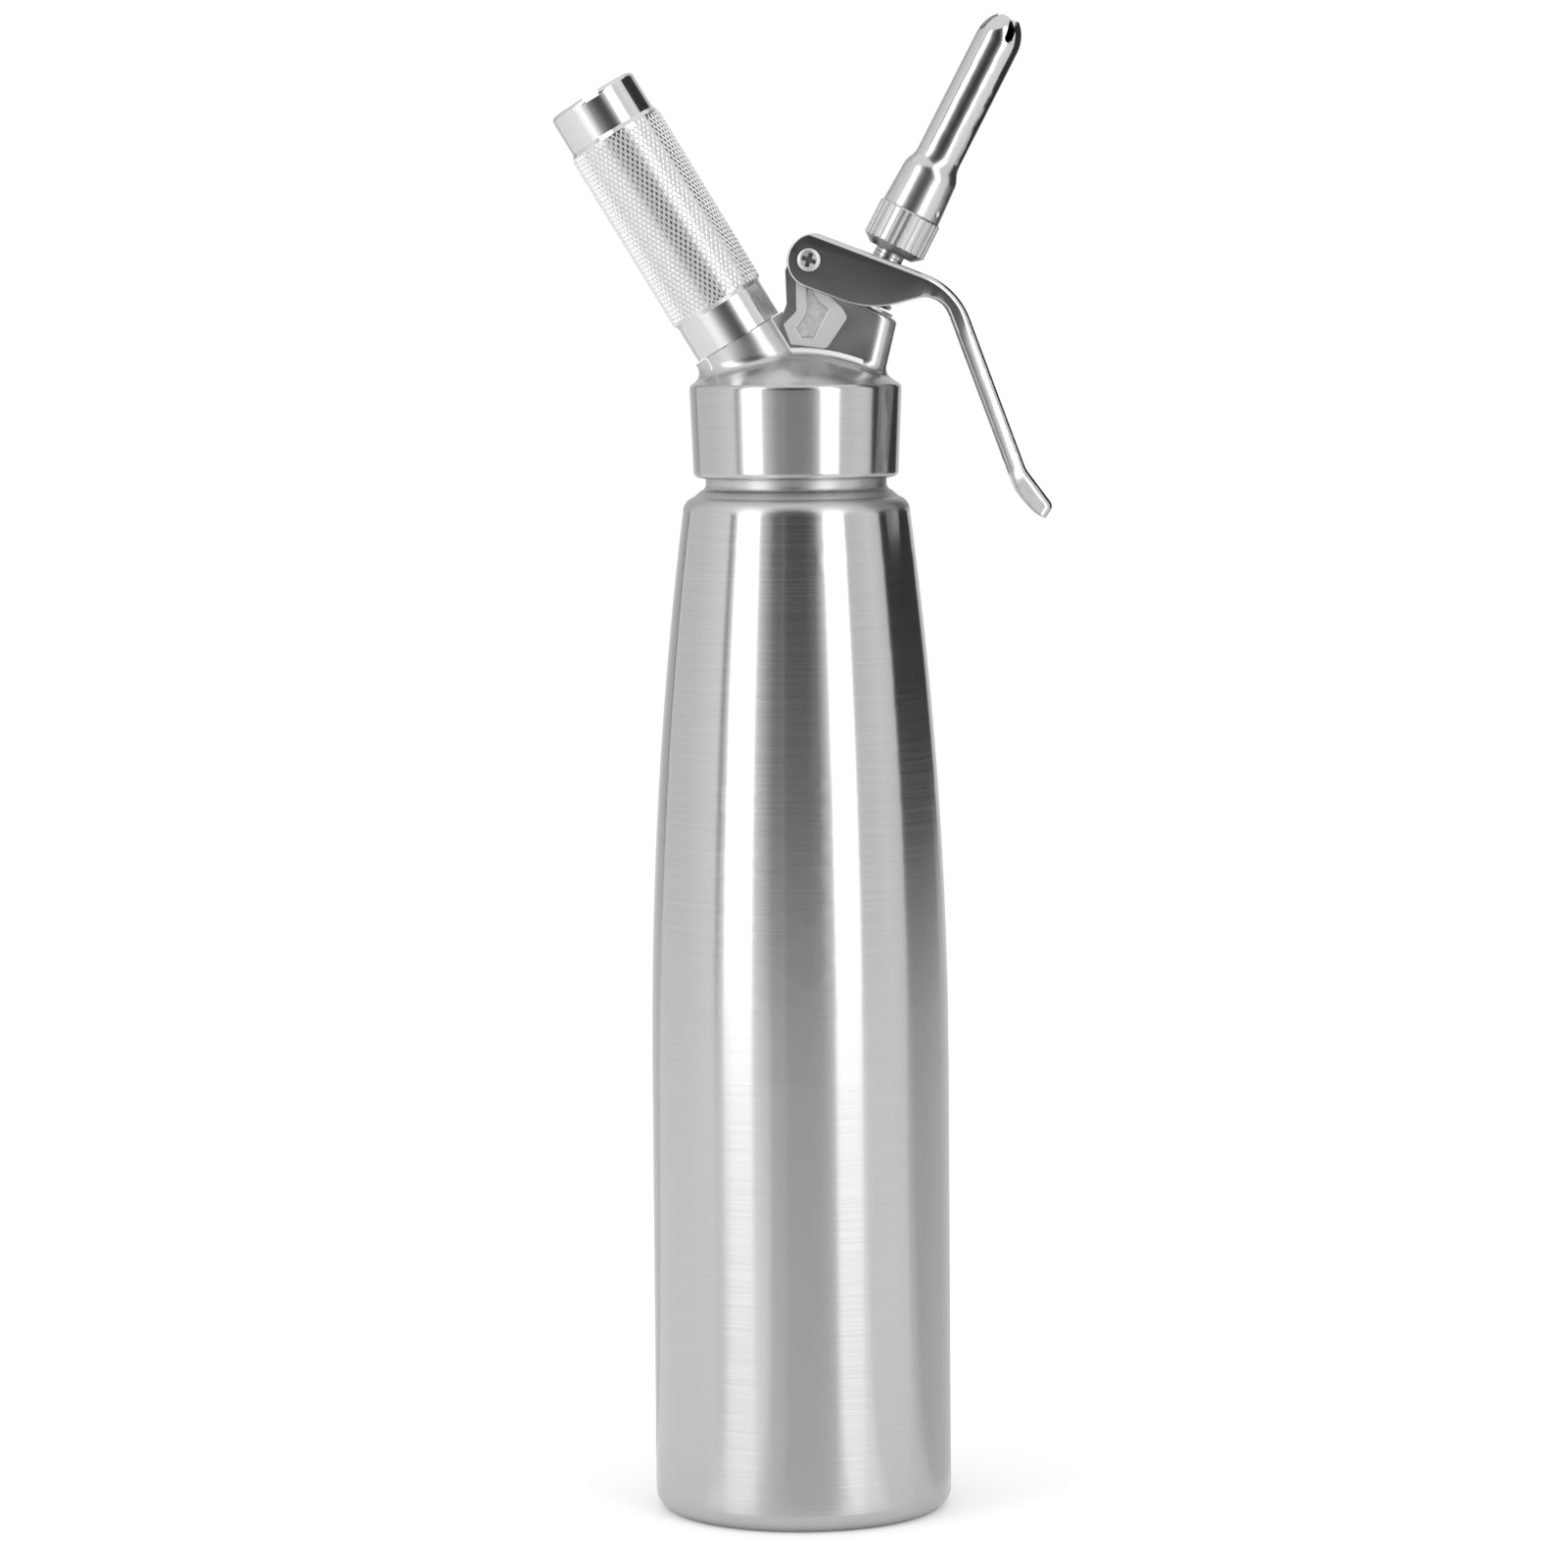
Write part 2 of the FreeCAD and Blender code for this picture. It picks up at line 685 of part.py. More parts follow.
def bore_head(body):
    """The thread's bore, the cavity over the flask's mouth, and the bores of valve, gas inlet and pivot."""
    bore = "neck_radius + thread_gap"
    turned(body, "Groove", "cap_bore", [
        ("0", "cap_bottom_height - cut_margin"),
        (bore, "cap_bottom_height - cut_margin"),
        (bore, CEILING),
        ("cavity_radius + cavity_depth", CEILING),
        ("cavity_radius", f"{CEILING} + cavity_depth"),
        ("0", f"{CEILING} + cavity_depth"),
    ])
    seat = "valve_seat_height"
    for name, axis, radius, start, end in (
        ("valve_chamber", VALVE_AXIS, "valve_chamber_radius", "bore_start", seat),
        ("valve_passage", VALVE_AXIS, "valve_passage_radius", f"{seat} - cut_margin", "gland_height"),
        ("valve_gland", VALVE_AXIS, "gland_radius", "gland_height", "valve_face_height + cut_margin"),
        ("inlet_socket", CHARGER_AXIS, "socket_radius", "socket_floor", f"{STUD_TOP} + cut_margin"),
        ("pin_seat", CHARGER_AXIS, "pin_base_radius + stem_fit", PIN_FOOT, "socket_floor + cut_margin"),
        ("gas_channel", CHARGER_AXIS, "gas_channel_radius", "check_bore_top - cut_margin", "socket_floor"),
        ("check_bore", CHARGER_AXIS, "check_bore_radius", "bore_start", "check_bore_top"),
    ):
        round_along(body, "Pocket", name, axis, radius, start, end)
    extruded(
        body, "Pocket", "pivot_bore", "XZ_Plane", "2 * pad_thickness",
        circle=("pivot_x", "pivot_height", "pivot_barrel_radius + stem_fit"),
    )


# ---------------------------------------------------------------- gas inlet

def make_piercing_pin():
    """A hollow steel point that opens the charger's cap and lets the gas through its base."""
    body = new_body("piercing_pin", *CHARGER_AXIS)
    foot = f"{PIN_FOOT} + seat_gap"
    top = "socket_floor + pin_reach"
    turned(body, "Revolution", "pin", [
        ("pin_bore_radius", foot),
        ("pin_base_radius", foot),
        ("pin_base_radius", "socket_floor"),
        ("pin_radius", "socket_floor + pin_cone_height"),
        ("pin_radius", f"{top} - pin_radius"),
        ("pin_bore_radius", top),
    ])
    return keep(body)


def make_inlet_seal():
    body = new_body("inlet_seal", *CHARGER_AXIS)
    foot = "socket_floor + seat_gap"
    turned(body, "Revolution", "seal_ring", [
        ("pin_base_radius + seat_gap", foot),
        ("inlet_seal_radius", foot),
        ("inlet_seal_radius", f"{foot} + inlet_seal_thickness"),
        ("pin_base_radius + seat_gap", f"{foot} + inlet_seal_thickness"),
    ])
    return keep(body)


def make_check_valve():
    """A silicone plug whose lips let the gas into the flask and hold the cream back."""
    body = new_body("check_valve", *CHARGER_AXIS)
    top = "check_bore_top - seat_gap"
    foot = f"{top} - check_valve_height"
    turned(body, "Revolution", "plug", [
        ("gas_channel_radius", f"{foot} + check_lip_height"),
        ("check_slit_radius", f"{foot} + check_lip_height / 3"),
        ("check_slit_radius", foot),
        ("check_lip_radius", foot),
        ("check_lip_radius + gas_channel_radius", f"{foot} + check_lip_height"),
        ("check_bore_radius - seat_gap", f"{foot} + check_lip_height"),
        ("check_bore_radius - seat_gap", top),
        ("gas_channel_radius", top),
    ])
    return keep(body)


# ---------------------------------------------------------------- charger and holder

HOLDER_FOOT = "boss_height + charger_gap"
HOLDER_TOP = "boss_height + charger_gap + holder_length"
CHARGER_TOP = "boss_height + holder_length - holder_wall_end"


def make_charger():
    """An eight-gram steel gas capsule, neck down, its cap already opened by the pin."""
    body = new_body("gas_charger", *CHARGER_AXIS)
    foot = f"{CHARGER_TOP} - charger_length"
    neck_top = f"{foot} + charger_neck_length"
    shoulder_top = f"{neck_top} + charger_shoulder_length"
    pierced = "pin_radius + thread_gap"
    inner_shoulder = f"charger_radius - charger_wall - {pierced}"
    turned(body, "Revolution", "capsule", [
        (pierced, foot),
        ("charger_neck_radius", foot),
        ("charger_neck_radius", neck_top),
        ("charger_radius", shoulder_top),
        ("charger_radius", f"{CHARGER_TOP} - charger_radius"),
        ("0", CHARGER_TOP),
        ("0", f"{CHARGER_TOP} - charger_wall"),
        ("charger_radius - charger_wall", f"{CHARGER_TOP} - charger_radius"),
        ("charger_radius - charger_wall", shoulder_top),
        (pierced, f"{neck_top} + charger_wall"),
    ], {
        2: (arc_radius("charger_shoulder_length", "charger_radius - charger_neck_radius"), 1),
        4: ("charger_radius", 1),
        6: ("charger_radius - charger_wall", -1),
        8: (arc_radius("charger_shoulder_length - charger_wall", inner_shoulder), -1),
    })
    return keep(body)


def make_holder():
    """The screwed sleeve over the charger: two plain bands, a chamfered grip and a coin slot in its end."""
    body = new_body("charger_holder", *CHARGER_AXIS)
    bore = "charger_radius + holder_bore_gap"
    mouth = "stud_radius + thread_gap"
    mouth_end = f"{STUD_TOP} + cut_margin"
    grip_foot = f"{HOLDER_FOOT} + holder_band_length"
    grip_top = f"{grip_foot} + holder_grip_length + 2 * holder_grip_chamfer"
    turned(body, "Revolution", "sleeve", [
        (mouth, HOLDER_FOOT),
        ("holder_band_radius", HOLDER_FOOT),
        ("holder_band_radius", grip_foot),
        ("holder_grip_radius", f"{grip_foot} + holder_grip_chamfer"),
        ("holder_grip_radius", f"{grip_top} - holder_grip_chamfer"),
        ("holder_end_radius", grip_top),
        ("holder_end_radius", HOLDER_TOP),
        ("0", HOLDER_TOP),
        ("0", f"{CHARGER_TOP} + charger_gap"),
        (bore, f"{CHARGER_TOP} + charger_gap - ({bore})"),
        (bore, f"{mouth_end} + {mouth} - ({bore})"),
        (mouth, mouth_end),
    ], {8: (bore, -1)})
    rounded(body, "Fillet", "end_rounding", "holder_end_round", ring_edge(HOLDER_TOP, "holder_end_radius"))
    sketch = new_sketch(body, "XZ_Plane", "coin_slot_outline")
    half = "holder_slot_width / 2"
    floor = f"{HOLDER_TOP} - holder_slot_depth"
    add_outline(sketch, [
        (f"-{half}", floor),
        (half, floor),
        (f"{half} + holder_slot_flare", f"{HOLDER_TOP} + cut_margin"),
        (f"-{half} - holder_slot_flare", f"{HOLDER_TOP} + cut_margin"),
    ])
    slot = body.newObject("PartDesign::Pocket", "coin_slot")
    slot.Profile = sketch
    slot.SideType = "Symmetric"
    bind(slot, Length="4 * holder_grip_radius")
    return keep(body)


# ---------------------------------------------------------------- valve

def make_guide_bush():
    body = new_body("valve_guide_bush", *VALVE_AXIS)
    foot = "gland_height + ring_thickness + 2 * seat_gap"
    turned(body, "Revolution", "bush", [
        ("stem_radius + stem_fit", foot),
        ("gland_radius - seat_gap", foot),
        ("gland_radius - seat_gap", "valve_face_height"),
        ("stem_radius + stem_fit", "valve_face_height"),
    ])
    return keep(body)


def make_stem_ring():
    """The ring in the gland under the bush that seals the stem."""
    body = new_body("stem_o_ring", *VALVE_AXIS)
    middle = "gland_height + seat_gap + ring_thickness / 2"
    section = "(gland_radius - stem_radius - 2 * seat_gap) / 2"
    centre = "(gland_radius + stem_radius) / 2"
    sketch = new_sketch(body, "XZ_Plane", "ring_section")
    add_circle(sketch, centre, middle, section)
    ring = body.newObject("PartDesign::Revolution", "ring")
    ring.Profile = sketch
    ring.ReferenceAxis = (sketch, ["V_Axis"])
    ring.Angle = 360
    return keep(body)


def make_spring_washer():
    body = new_body("spring_washer", *VALVE_AXIS)
    foot = "valve_face_height + seat_gap"
    turned(body, "Revolution", "washer", [
        ("stem_radius + thread_gap", foot),
        ("spring_washer_radius", foot),
        ("spring_washer_radius", f"{foot} + spring_washer_thickness"),
        ("stem_radius + thread_gap", f"{foot} + spring_washer_thickness"),
    ])
    return keep(body)


def make_valve_spring():
    """The coil that lifts the collar, and with it stem and lever, back to rest."""
    body = new_body("valve_spring", *VALVE_AXIS)
    foot = "valve_face_height + spring_washer_thickness + 2 * seat_gap + spring_wire_radius"
    top = "collar_foot_height - seat_gap - spring_wire_radius"
    sketch = new_sketch(body, "XZ_Plane", "wire_section")
    add_circle(sketch, "spring_radius", foot, "spring_wire_radius")
    doc.recompute()
    coil = body.newObject("PartDesign::AdditiveHelix", "coil")
    coil.Profile = sketch
    coil.ReferenceAxis = (sketch, ["V_Axis"])
    coil.Mode = "height-turns-angle"
    bind(coil, Height=f"{top} - ({foot})", Turns="spring_turns")
    return keep(body)


def make_valve_stem():
    """The hollow stem: ports above its plate end, a bore to the nozzle and a long threaded top."""
    body = new_body("valve_stem", *VALVE_AXIS)
    foot = "valve_seat_height - valve_gasket_thickness - valve_plate_thickness - stem_end_reach"
    turned(body, "Revolution", "stem", [
        ("0", foot),
        ("stem_end_radius", foot),
        ("stem_end_radius", "valve_seat_height"),
        ("stem_radius", "valve_seat_height"),
        ("stem_radius", "stem_top_height - stem_top_chamfer"),
        ("stem_radius - stem_top_chamfer", "stem_top_height"),
        ("stem_bore_radius", "stem_top_height"),
        ("stem_bore_radius", "stem_port_height - stem_bore_radius"),
        ("0", "stem_port_height - 1.5 * stem_bore_radius"),
    ])
    extruded(
        body, "Pocket", "ports", "XZ_Plane", "4 * stem_radius",
        circle=("0", "stem_port_height", "stem_port_radius"),
    )
    return keep(body)


def make_valve_gasket():
    body = new_body("valve_gasket", *VALVE_AXIS)
    top = "valve_seat_height - seat_gap"
    bore = "stem_end_radius + stem_fit"
    turned(body, "Revolution", "gasket", [
        (bore, f"{top} - valve_gasket_thickness"),
        ("valve_plate_radius", f"{top} - valve_gasket_thickness"),
        ("valve_plate_radius", f"{top} - valve_gasket_thickness / 4"),
        ("valve_plate_radius - valve_gasket_thickness / 4", top),
        (bore, top),
    ])
    return keep(body)


def make_valve_plate():
    """The nut that holds the gasket against the stem's shoulder."""
    body = new_body("valve_plate", *VALVE_AXIS)
    top = "valve_seat_height - valve_gasket_thickness - 2 * seat_gap"
    bore = "stem_end_radius + stem_fit"
    turned(body, "Revolution", "plate", [
        (bore, f"{top} - valve_plate_thickness"),
        ("valve_plate_radius - valve_plate_thickness / 2", f"{top} - valve_plate_thickness"),
        ("valve_plate_radius", f"{top} - valve_plate_thickness / 2"),
        ("valve_plate_radius", top),
        (bore, top),
    ])
    return keep(body)


def make_collar():
    """The domed collar that the lever's plate presses and the spring lifts."""
    body = new_body("spring_collar", *VALVE_AXIS)
    drop = "collar_dome_radius - (collar_dome_radius^2 - collar_radius^2)^0.5"
    crown_drop = "collar_dome_radius - (collar_dome_radius^2 - (stem_radius + stem_fit)^2)^0.5"
    turned(body, "Revolution", "collar", [
        ("stem_radius + stem_fit", "collar_foot_height"),
        ("collar_radius", "collar_foot_height"),
        ("collar_radius", f"collar_top_height - ({drop})"),
        ("stem_radius + stem_fit", f"collar_top_height - ({crown_drop})"),
    ], {2: ("collar_dome_radius", 1)})
    return keep(body)


# ---------------------------------------------------------------- nozzle

NUT_TOP = "nut_foot_height + nut_height"


def make_nozzle_gasket():
    body = new_body("nozzle_gasket", *VALVE_AXIS)
    foot = "stem_top_height + seat_gap"
    turned(body, "Revolution", "gasket", [
        ("stem_bore_radius", foot),
        ("stem_radius - seat_gap", foot),
        ("stem_radius - seat_gap", f"{foot} + nozzle_gasket_thickness"),
        ("stem_bore_radius", f"{foot} + nozzle_gasket_thickness"),
    ])
    return keep(body)


def make_nozzle_nut():
    """The round nut under the tip, screwed on the stem, with a stud for the tip."""
    body = new_body("nozzle_nut", *VALVE_AXIS)
    bore = "stem_radius + thread_gap / 2"
    bore_end = "stem_top_height + nozzle_gasket_thickness + 2 * seat_gap"
    turned(body, "Revolution", "nut", [
        (bore, "nut_foot_height"),
        ("nut_radius - nut_foot_inset", "nut_foot_height"),
        ("nut_radius", "nut_foot_height + nut_chamfer"),
        ("nut_radius", f"{NUT_TOP} - nut_top_chamfer"),
        ("nut_radius - nut_top_chamfer", NUT_TOP),
        ("nozzle_stud_radius", NUT_TOP),
        ("nozzle_stud_radius", f"{NUT_TOP} + nozzle_stud_height"),
        ("nozzle_passage_radius", f"{NUT_TOP} + nozzle_stud_height"),
        ("nozzle_passage_radius", bore_end),
        (bore, bore_end),
    ])
    extruded(
        body, "Pocket", "flute", "XY_Plane", f"3 * ({NUT_TOP})",
        circle=("nut_radius + flute_radius - flute_depth", "0", "flute_radius"),
    )
    flutes = body.newObject("PartDesign::PolarPattern", "flutes")
    flutes.Originals = [body.Document.getObject("flute")]
    flutes.Axis = (origin_plane(body, "Z_Axis"), [""])
    flutes.Angle = 360
    bind(flutes, Occurrences="flute_count")
    body.Tip = flutes
    return keep(body)


def make_tip():
    """The drawn steel decorating tip: a wide base, a flare, a long tube and a rounded, slotted mouth."""
    body = new_body("decorating_tip", *VALVE_AXIS)
    foot = f"{NUT_TOP} + seat_gap"
    base_top = f"{NUT_TOP} + tip_base_height"
    tube_foot = f"{base_top} + tip_flare_height"
    tube_top = "tip_top_height - tip_round_height"
    inner_base = "nozzle_stud_radius + seat_gap"
    inner_tube = "tip_tube_radius - tip_wall"
    flare_radius = "(tip_base_radius - tip_base_narrowing)"
    flare_arc = arc_radius("tip_flare_height / 2", f"({flare_radius} - tip_tube_radius) / 2")
    mouth_arc = arc_radius("tip_round_height", "tip_tube_radius - tip_mouth_radius")
    inner_arc = arc_radius("tip_round_height - tip_wall / 2", "tip_tube_radius - tip_mouth_radius")
    turned(body, "Revolution", "shell", [
        (inner_base, foot),
        ("tip_base_radius", foot),
        (flare_radius, base_top),
        (f"({flare_radius} + tip_tube_radius) / 2", f"{base_top} + tip_flare_height / 2"),
        ("tip_tube_radius", tube_foot),
        ("tip_tube_radius", tube_top),
        ("tip_mouth_radius", "tip_top_height"),
        ("tip_mouth_radius - tip_wall", "tip_top_height - tip_wall / 2"),
        (inner_tube, tube_top),
        (inner_tube, tube_foot),
        (inner_base, f"{base_top} - tip_wall"),
    ], {
        2: (flare_arc, 1),
        3: (flare_arc, -1),
        5: (mouth_arc, 1),
        7: (inner_arc, -1),
    })
    for number, turn in enumerate(("tip_slot_turn", "tip_slot_turn + 90")):
        sketch = new_sketch(body, "XZ_Plane", f"mouth_slot_{number}_outline")
        sketch.AttachmentOffset = Placement(Vector(0, 0, 0), Rotation(Vector(0, 1, 0), 1))
        bind(sketch, AttachmentOffset__Rotation__Angle=turn)
        half = "tip_slot_width / 2"
        floor = "tip_top_height - tip_slot_depth"
        add_outline(sketch, [
            ("0", f"{floor} - {half}"),
            (half, floor),
            (half, "tip_top_height + cut_margin"),
            (f"-{half}", "tip_top_height + cut_margin"),
            (f"-{half}", floor),
        ], {0: (half, 1), 4: (half, 1)})
        slot = body.newObject("PartDesign::Pocket", f"mouth_slot_{number}")
        slot.Profile = sketch
        slot.SideType = "Symmetric"
        bind(slot, Length="4 * tip_tube_radius")
    dimple = body.newObject("PartDesign::SubtractiveSphere", "punched_dimple")
    dimple.AttachmentSupport = (origin_plane(body, "XY_Plane"), [""])
    dimple.MapMode = "FlatFace"
    reach = "(tip_base_radius + dimple_radius - dimple_depth)"
    bind(
        dimple, Radius="dimple_radius",
        AttachmentOffset__Base__x=f"{reach} * cos(dimple_turn)",
        AttachmentOffset__Base__y=f"-{reach} * sin(dimple_turn)",
        AttachmentOffset__Base__z=f"{NUT_TOP} + dimple_height",
    )
    body.Tip = dimple
    return keep(body)


# ---------------------------------------------------------------- lever

def lever_body(label):
    return new_body(label, "pivot_height", "lever_slope", x="pivot_x")


HANDLE_RUN = "(handle_end_x - lever_bend_x)"
HANDLE_FALL = "(lever_top - handle_end_z)"
HANDLE_LENGTH = f"({HANDLE_RUN}^2 + {HANDLE_FALL}^2)^0.5"
TAPER_END = "(handle_end_x + 2 * tip_flare_x)"


def behind_handle(x, z, depth):
    """A point that lies a depth inside the handle's outer line."""
    inward = f"{depth} / {HANDLE_LENGTH}"
    return f"{x} - {HANDLE_FALL} * {inward}", f"{z} - {HANDLE_RUN} * {inward}"


def make_lever():
    """A pressed channel: two cheeks round the web, a plate over the valve and a tapering handle."""
    blank = lever_body("lever_blank")
    end_round = "((lever_top + lever_end_swell - lever_bottom) / 2)"
    end_height = "(lever_top + lever_end_swell + lever_bottom) / 2"
    plate_start = f"lever_end_centre - ({end_round}^2 - (lever_top - {end_height})^2)^0.5"
    tip_x = "(handle_end_x + tip_flare_x)"
    tip_z = "(handle_end_z + tip_flare_z)"
    crotch = behind_handle("lever_bend_x", "lever_top", "handle_thickness")
    extruded(blank, "Pad", "side_shape", "XZ_Plane", "lever_width", [
        ("lever_end_centre", "lever_bottom"),
        ("lever_belly_x", "lever_bottom"),
        crotch,
        ("spoon_knee_x", "spoon_knee_z"),
        ("spoon_belly_x", "spoon_belly_z"),
        ("spoon_end_x", "spoon_end_z"),
        (tip_x, tip_z),
        ("handle_end_x", "handle_end_z"),
        ("lever_bend_x", "lever_top"),
        (plate_start, "lever_top"),
        (f"lever_end_centre - {end_round}", end_height),
    ], {9: (end_round, 1), 10: (end_round, 1)})

    def corner_at(x, z):
        place = Vector(value(x), 0, value(z))

        def test(edge):
            box = edge.BoundBox
            return box.YLength > 5 and near(box.Center.x, place.x) and near(box.Center.z, place.z)

        return test

    rounded(blank, "Fillet", "belly", "lever_belly_round", corner_at("lever_belly_x", "lever_bottom"))
    rounded(blank, "Fillet", "crotch", "lever_crotch_round", corner_at(*crotch))
    rounded(blank, "Fillet", "bend", "lever_bend_round", corner_at("lever_bend_x", "lever_top"))
    rounded(blank, "Fillet", "outer_knee", "outer_knee_round", corner_at("handle_end_x", "handle_end_z"))
    rounded(blank, "Fillet", "inner_knee", "inner_knee_round", corner_at("spoon_knee_x", "spoon_knee_z"))
    rounded(blank, "Fillet", "spoon_belly", "spoon_round", corner_at("spoon_belly_x", "spoon_belly_z"))
    rounded(blank, "Fillet", "lip", "lever_lip_round", corner_at(tip_x, tip_z))
    narrow_handle(blank, "0")

    hollow = lever_body("lever_hollow")
    sheet_knee = behind_handle("handle_end_x", "handle_end_z", "lever_sheet")
    sheet_bend_x = f"lever_bend_x - lever_sheet * ({HANDLE_LENGTH} - {HANDLE_RUN}) / {HANDLE_FALL}"
    extruded(hollow, "Pad", "hollow_shape", "XZ_Plane", "lever_width - 2 * lever_sheet", [
        (f"lever_end_centre - 2 * {end_round}", "2 * lever_bottom"),
        ("lever_belly_x", "2 * lever_bottom"),
        ("handle_end_x - lever_width / 2", "handle_end_z - lever_width / 2"),
        sheet_knee,
        (sheet_bend_x, "lever_top - lever_sheet"),
        (f"lever_end_centre - 2 * {end_round}", "lever_top - lever_sheet"),
    ])
    rounded(
        hollow, "Fillet", "hollow_bend", "lever_bend_round - lever_sheet",
        corner_at(sheet_bend_x, "lever_top - lever_sheet"),
    )
    narrow_handle(hollow, "lever_sheet")

    rounded(blank, "Fillet", "back_rounding", "lever_edge_round", is_back_edge)
    doc.recompute()
    rounded(blank, "Fillet", "rim_rounding", "lever_rim_round", rim_test(blank.Tip.Shape))
    extruded(
        blank, "Pocket", "pivot_holes", "XZ_Plane", "2 * lever_width",
        circle=("0", "0", "pivot_head_radius + pivot_fit"),
    )
    straight = "(lever_slot_length - lever_slot_width) / 2"
    half = "lever_slot_width / 2"
    extruded(blank, "Pocket", "stem_slot", "XY_Plane", "4 * lever_top", [
        (f"lever_slot_centre - {straight}", f"-{half}"),
        (f"lever_slot_centre + {straight}", f"-{half}"),
        (f"lever_slot_centre + {straight} + {half}", "0"),
        (f"lever_slot_centre + {straight}", half),
        (f"lever_slot_centre - {straight}", half),
        (f"lever_slot_centre - {straight} - {half}", "0"),
    ], {1: (half, 1), 2: (half, 1), 4: (half, 1), 5: (half, 1)})
    lever = doc.addObject("Part::Cut", "lever")
    lever.Label = "lever"
    lever.Base = blank
    lever.Tool = hollow
    return keep(lever)


def narrow_handle(body, inset):
    """Cuts both sides to the handle's narrowing plan, inset by the sheet's thickness for the hollow."""
    ease = arc_radius(f"{TAPER_END} - lever_taper_x", "(lever_width - lever_tip_width) / 2")
    for name, side in (("front_taper", -1), ("rear_taper", 1)):
        sketch = new_sketch(body, "XY_Plane", f"{name}_{body.Name}")
        add_outline(sketch, [
            ("lever_taper_x", f"{side} * (lever_width / 2 - {inset})"),
            (TAPER_END, f"{side} * (lever_tip_width / 2 - {inset})"),
            (TAPER_END, f"{side} * lever_width"),
            ("lever_taper_x", f"{side} * lever_width"),
        ], {0: (ease, -side)})
        pocket = body.newObject("PartDesign::Pocket", f"{name}_{body.Name}_cut")
        pocket.Profile = sketch
        pocket.SideType = "Symmetric"
        bind(pocket, Length="8 * lever_width")


def edge_places(edge):
    """Start, middle and end of an edge."""
    first = edge.FirstParameter
    run = edge.LastParameter - first
    return [edge.valueAt(first + share * run) for share in (0, 0.5, 1)]


def is_back_edge(edge):
    """Whether an edge of the lever runs along its back, on the plate or down the handle."""
    run = value(HANDLE_RUN)
    fall = value(HANDLE_FALL)
    base = Vector(value("lever_bend_x"), 0, value("lever_top"))
    places = edge_places(edge)
    on_plate = all(near(place.z, base.z) for place in places)
    depths = [((place - base).x * fall + (place - base).z * run) / value(HANDLE_LENGTH) for place in places]
    on_handle = all(near(depth, 0) for depth in depths)
    on_side = abs(places[1].y) > value("lever_tip_width / 4")
    return edge.BoundBox.XLength > 1 and on_side and (on_plate or on_handle)


def rim_test(shape):
    """A test for the side edges that the back's rounding left: round the cheeks and under the handle."""
    half_width = value("lever_width / 2")
    ease = value(arc_radius(f"{TAPER_END} - lever_taper_x", "(lever_width - lever_tip_width) / 2"))
    taper_x = value("lever_taper_x")

    def test(edge):
        middle = edge_places(edge)[1]
        run = max(middle.x - taper_x, 0.0)
        on_side = near(abs(middle.y), half_width - ease + (ease**2 - run**2) ** 0.5, 0.05)
        inward = Part.Vertex(middle.x, middle.y / 2, middle.z)
        return on_side and near(shape.Shells[0].distToShape(inward)[0], 0, 0.001)

    return test


# ---------------------------------------------------------------- pivot

def pivot_piece(label, corners):
    """A piece turned about the lever's pivot, which runs from front to rear."""
    body = doc.addObject("PartDesign::Body", label)
    body.Label = label
    body.Placement = Placement(Vector(0, 0, 0), Rotation(Vector(1, 0, 0), -90))
    bind(body, Placement__Base__x="pivot_x", Placement__Base__z="pivot_height")
    turned(body, "Revolution", f"{label}_turning", corners)
    return keep(body)


def make_pivot():
    face = "pad_thickness / 2 + seat_gap"
    proud = "lever_width / 2 + pivot_head_proud"
    crown = f"{proud} + pivot_head_crown"
    rim = f"{proud} - pivot_head_edge"
    screw_end = f"-({face}) + pivot_screw_depth"
    pivot_piece("pivot_screw", [
        ("0", f"-({crown})"),
        ("pivot_head_radius - pivot_head_edge", f"-({proud})"),
        ("pivot_head_radius", f"-({rim})"),
        ("pivot_head_radius", f"-({face})"),
        ("pivot_screw_radius", f"-({face})"),
        ("pivot_screw_radius", screw_end),
        ("0", screw_end),
    ])
    pivot_piece("pivot_sleeve", [
        ("0", f"{screw_end} + cut_margin"),
        ("pivot_screw_radius + seat_gap", f"{screw_end} + cut_margin"),
        ("pivot_screw_radius + seat_gap", f"-({face}) + seat_gap"),
        ("pivot_barrel_radius", f"-({face}) + seat_gap"),
        ("pivot_barrel_radius", face),
        ("pivot_head_radius", face),
        ("pivot_head_radius", rim),
        ("pivot_head_radius - pivot_head_edge", proud),
        ("0", crown),
    ])


# ---------------------------------------------------------------- the whole dispenser

def main():
    make_flask()
    make_head_gasket()
    make_head()
    make_piercing_pin()
    make_inlet_seal()
    make_check_valve()
    make_charger()
    make_holder()
    make_guide_bush()
    make_stem_ring()
    make_spring_washer()
    make_valve_spring()
    make_valve_stem()
    make_valve_gasket()
    make_valve_plate()
    make_collar()
    make_nozzle_gasket()
    make_nozzle_nut()
    make_tip()
    make_lever()
    make_pivot()
    doc.recompute()
    for item in doc.Objects:
        if "Invalid" in item.State or "Error" in item.State:
            raise ValueError(f"{item.Name} failed: {item.State}")
    for part in SUB_PARTS:
        shape = part.Shape
        if shape.isNull() or not shape.isValid() or len(shape.Solids) != 1:
            raise ValueError(f"{part.Label} is not one valid solid")
    os.makedirs("parts", exist_ok=True)
    for part in SUB_PARTS:
        part.Shape.exportStep(f"parts/{part.Label}.step")
        print(f"{part.Label:20s} solids {len(part.Shape.Solids)} volume {part.Shape.Volume:10.1f} mm3")


main()
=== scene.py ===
"""Finishes, small turned detail and studio of a one-litre whipped cream dispenser, laid out as an add-on."""
import json
import math

import bmesh
import bpy
from mathutils import Matrix, Vector


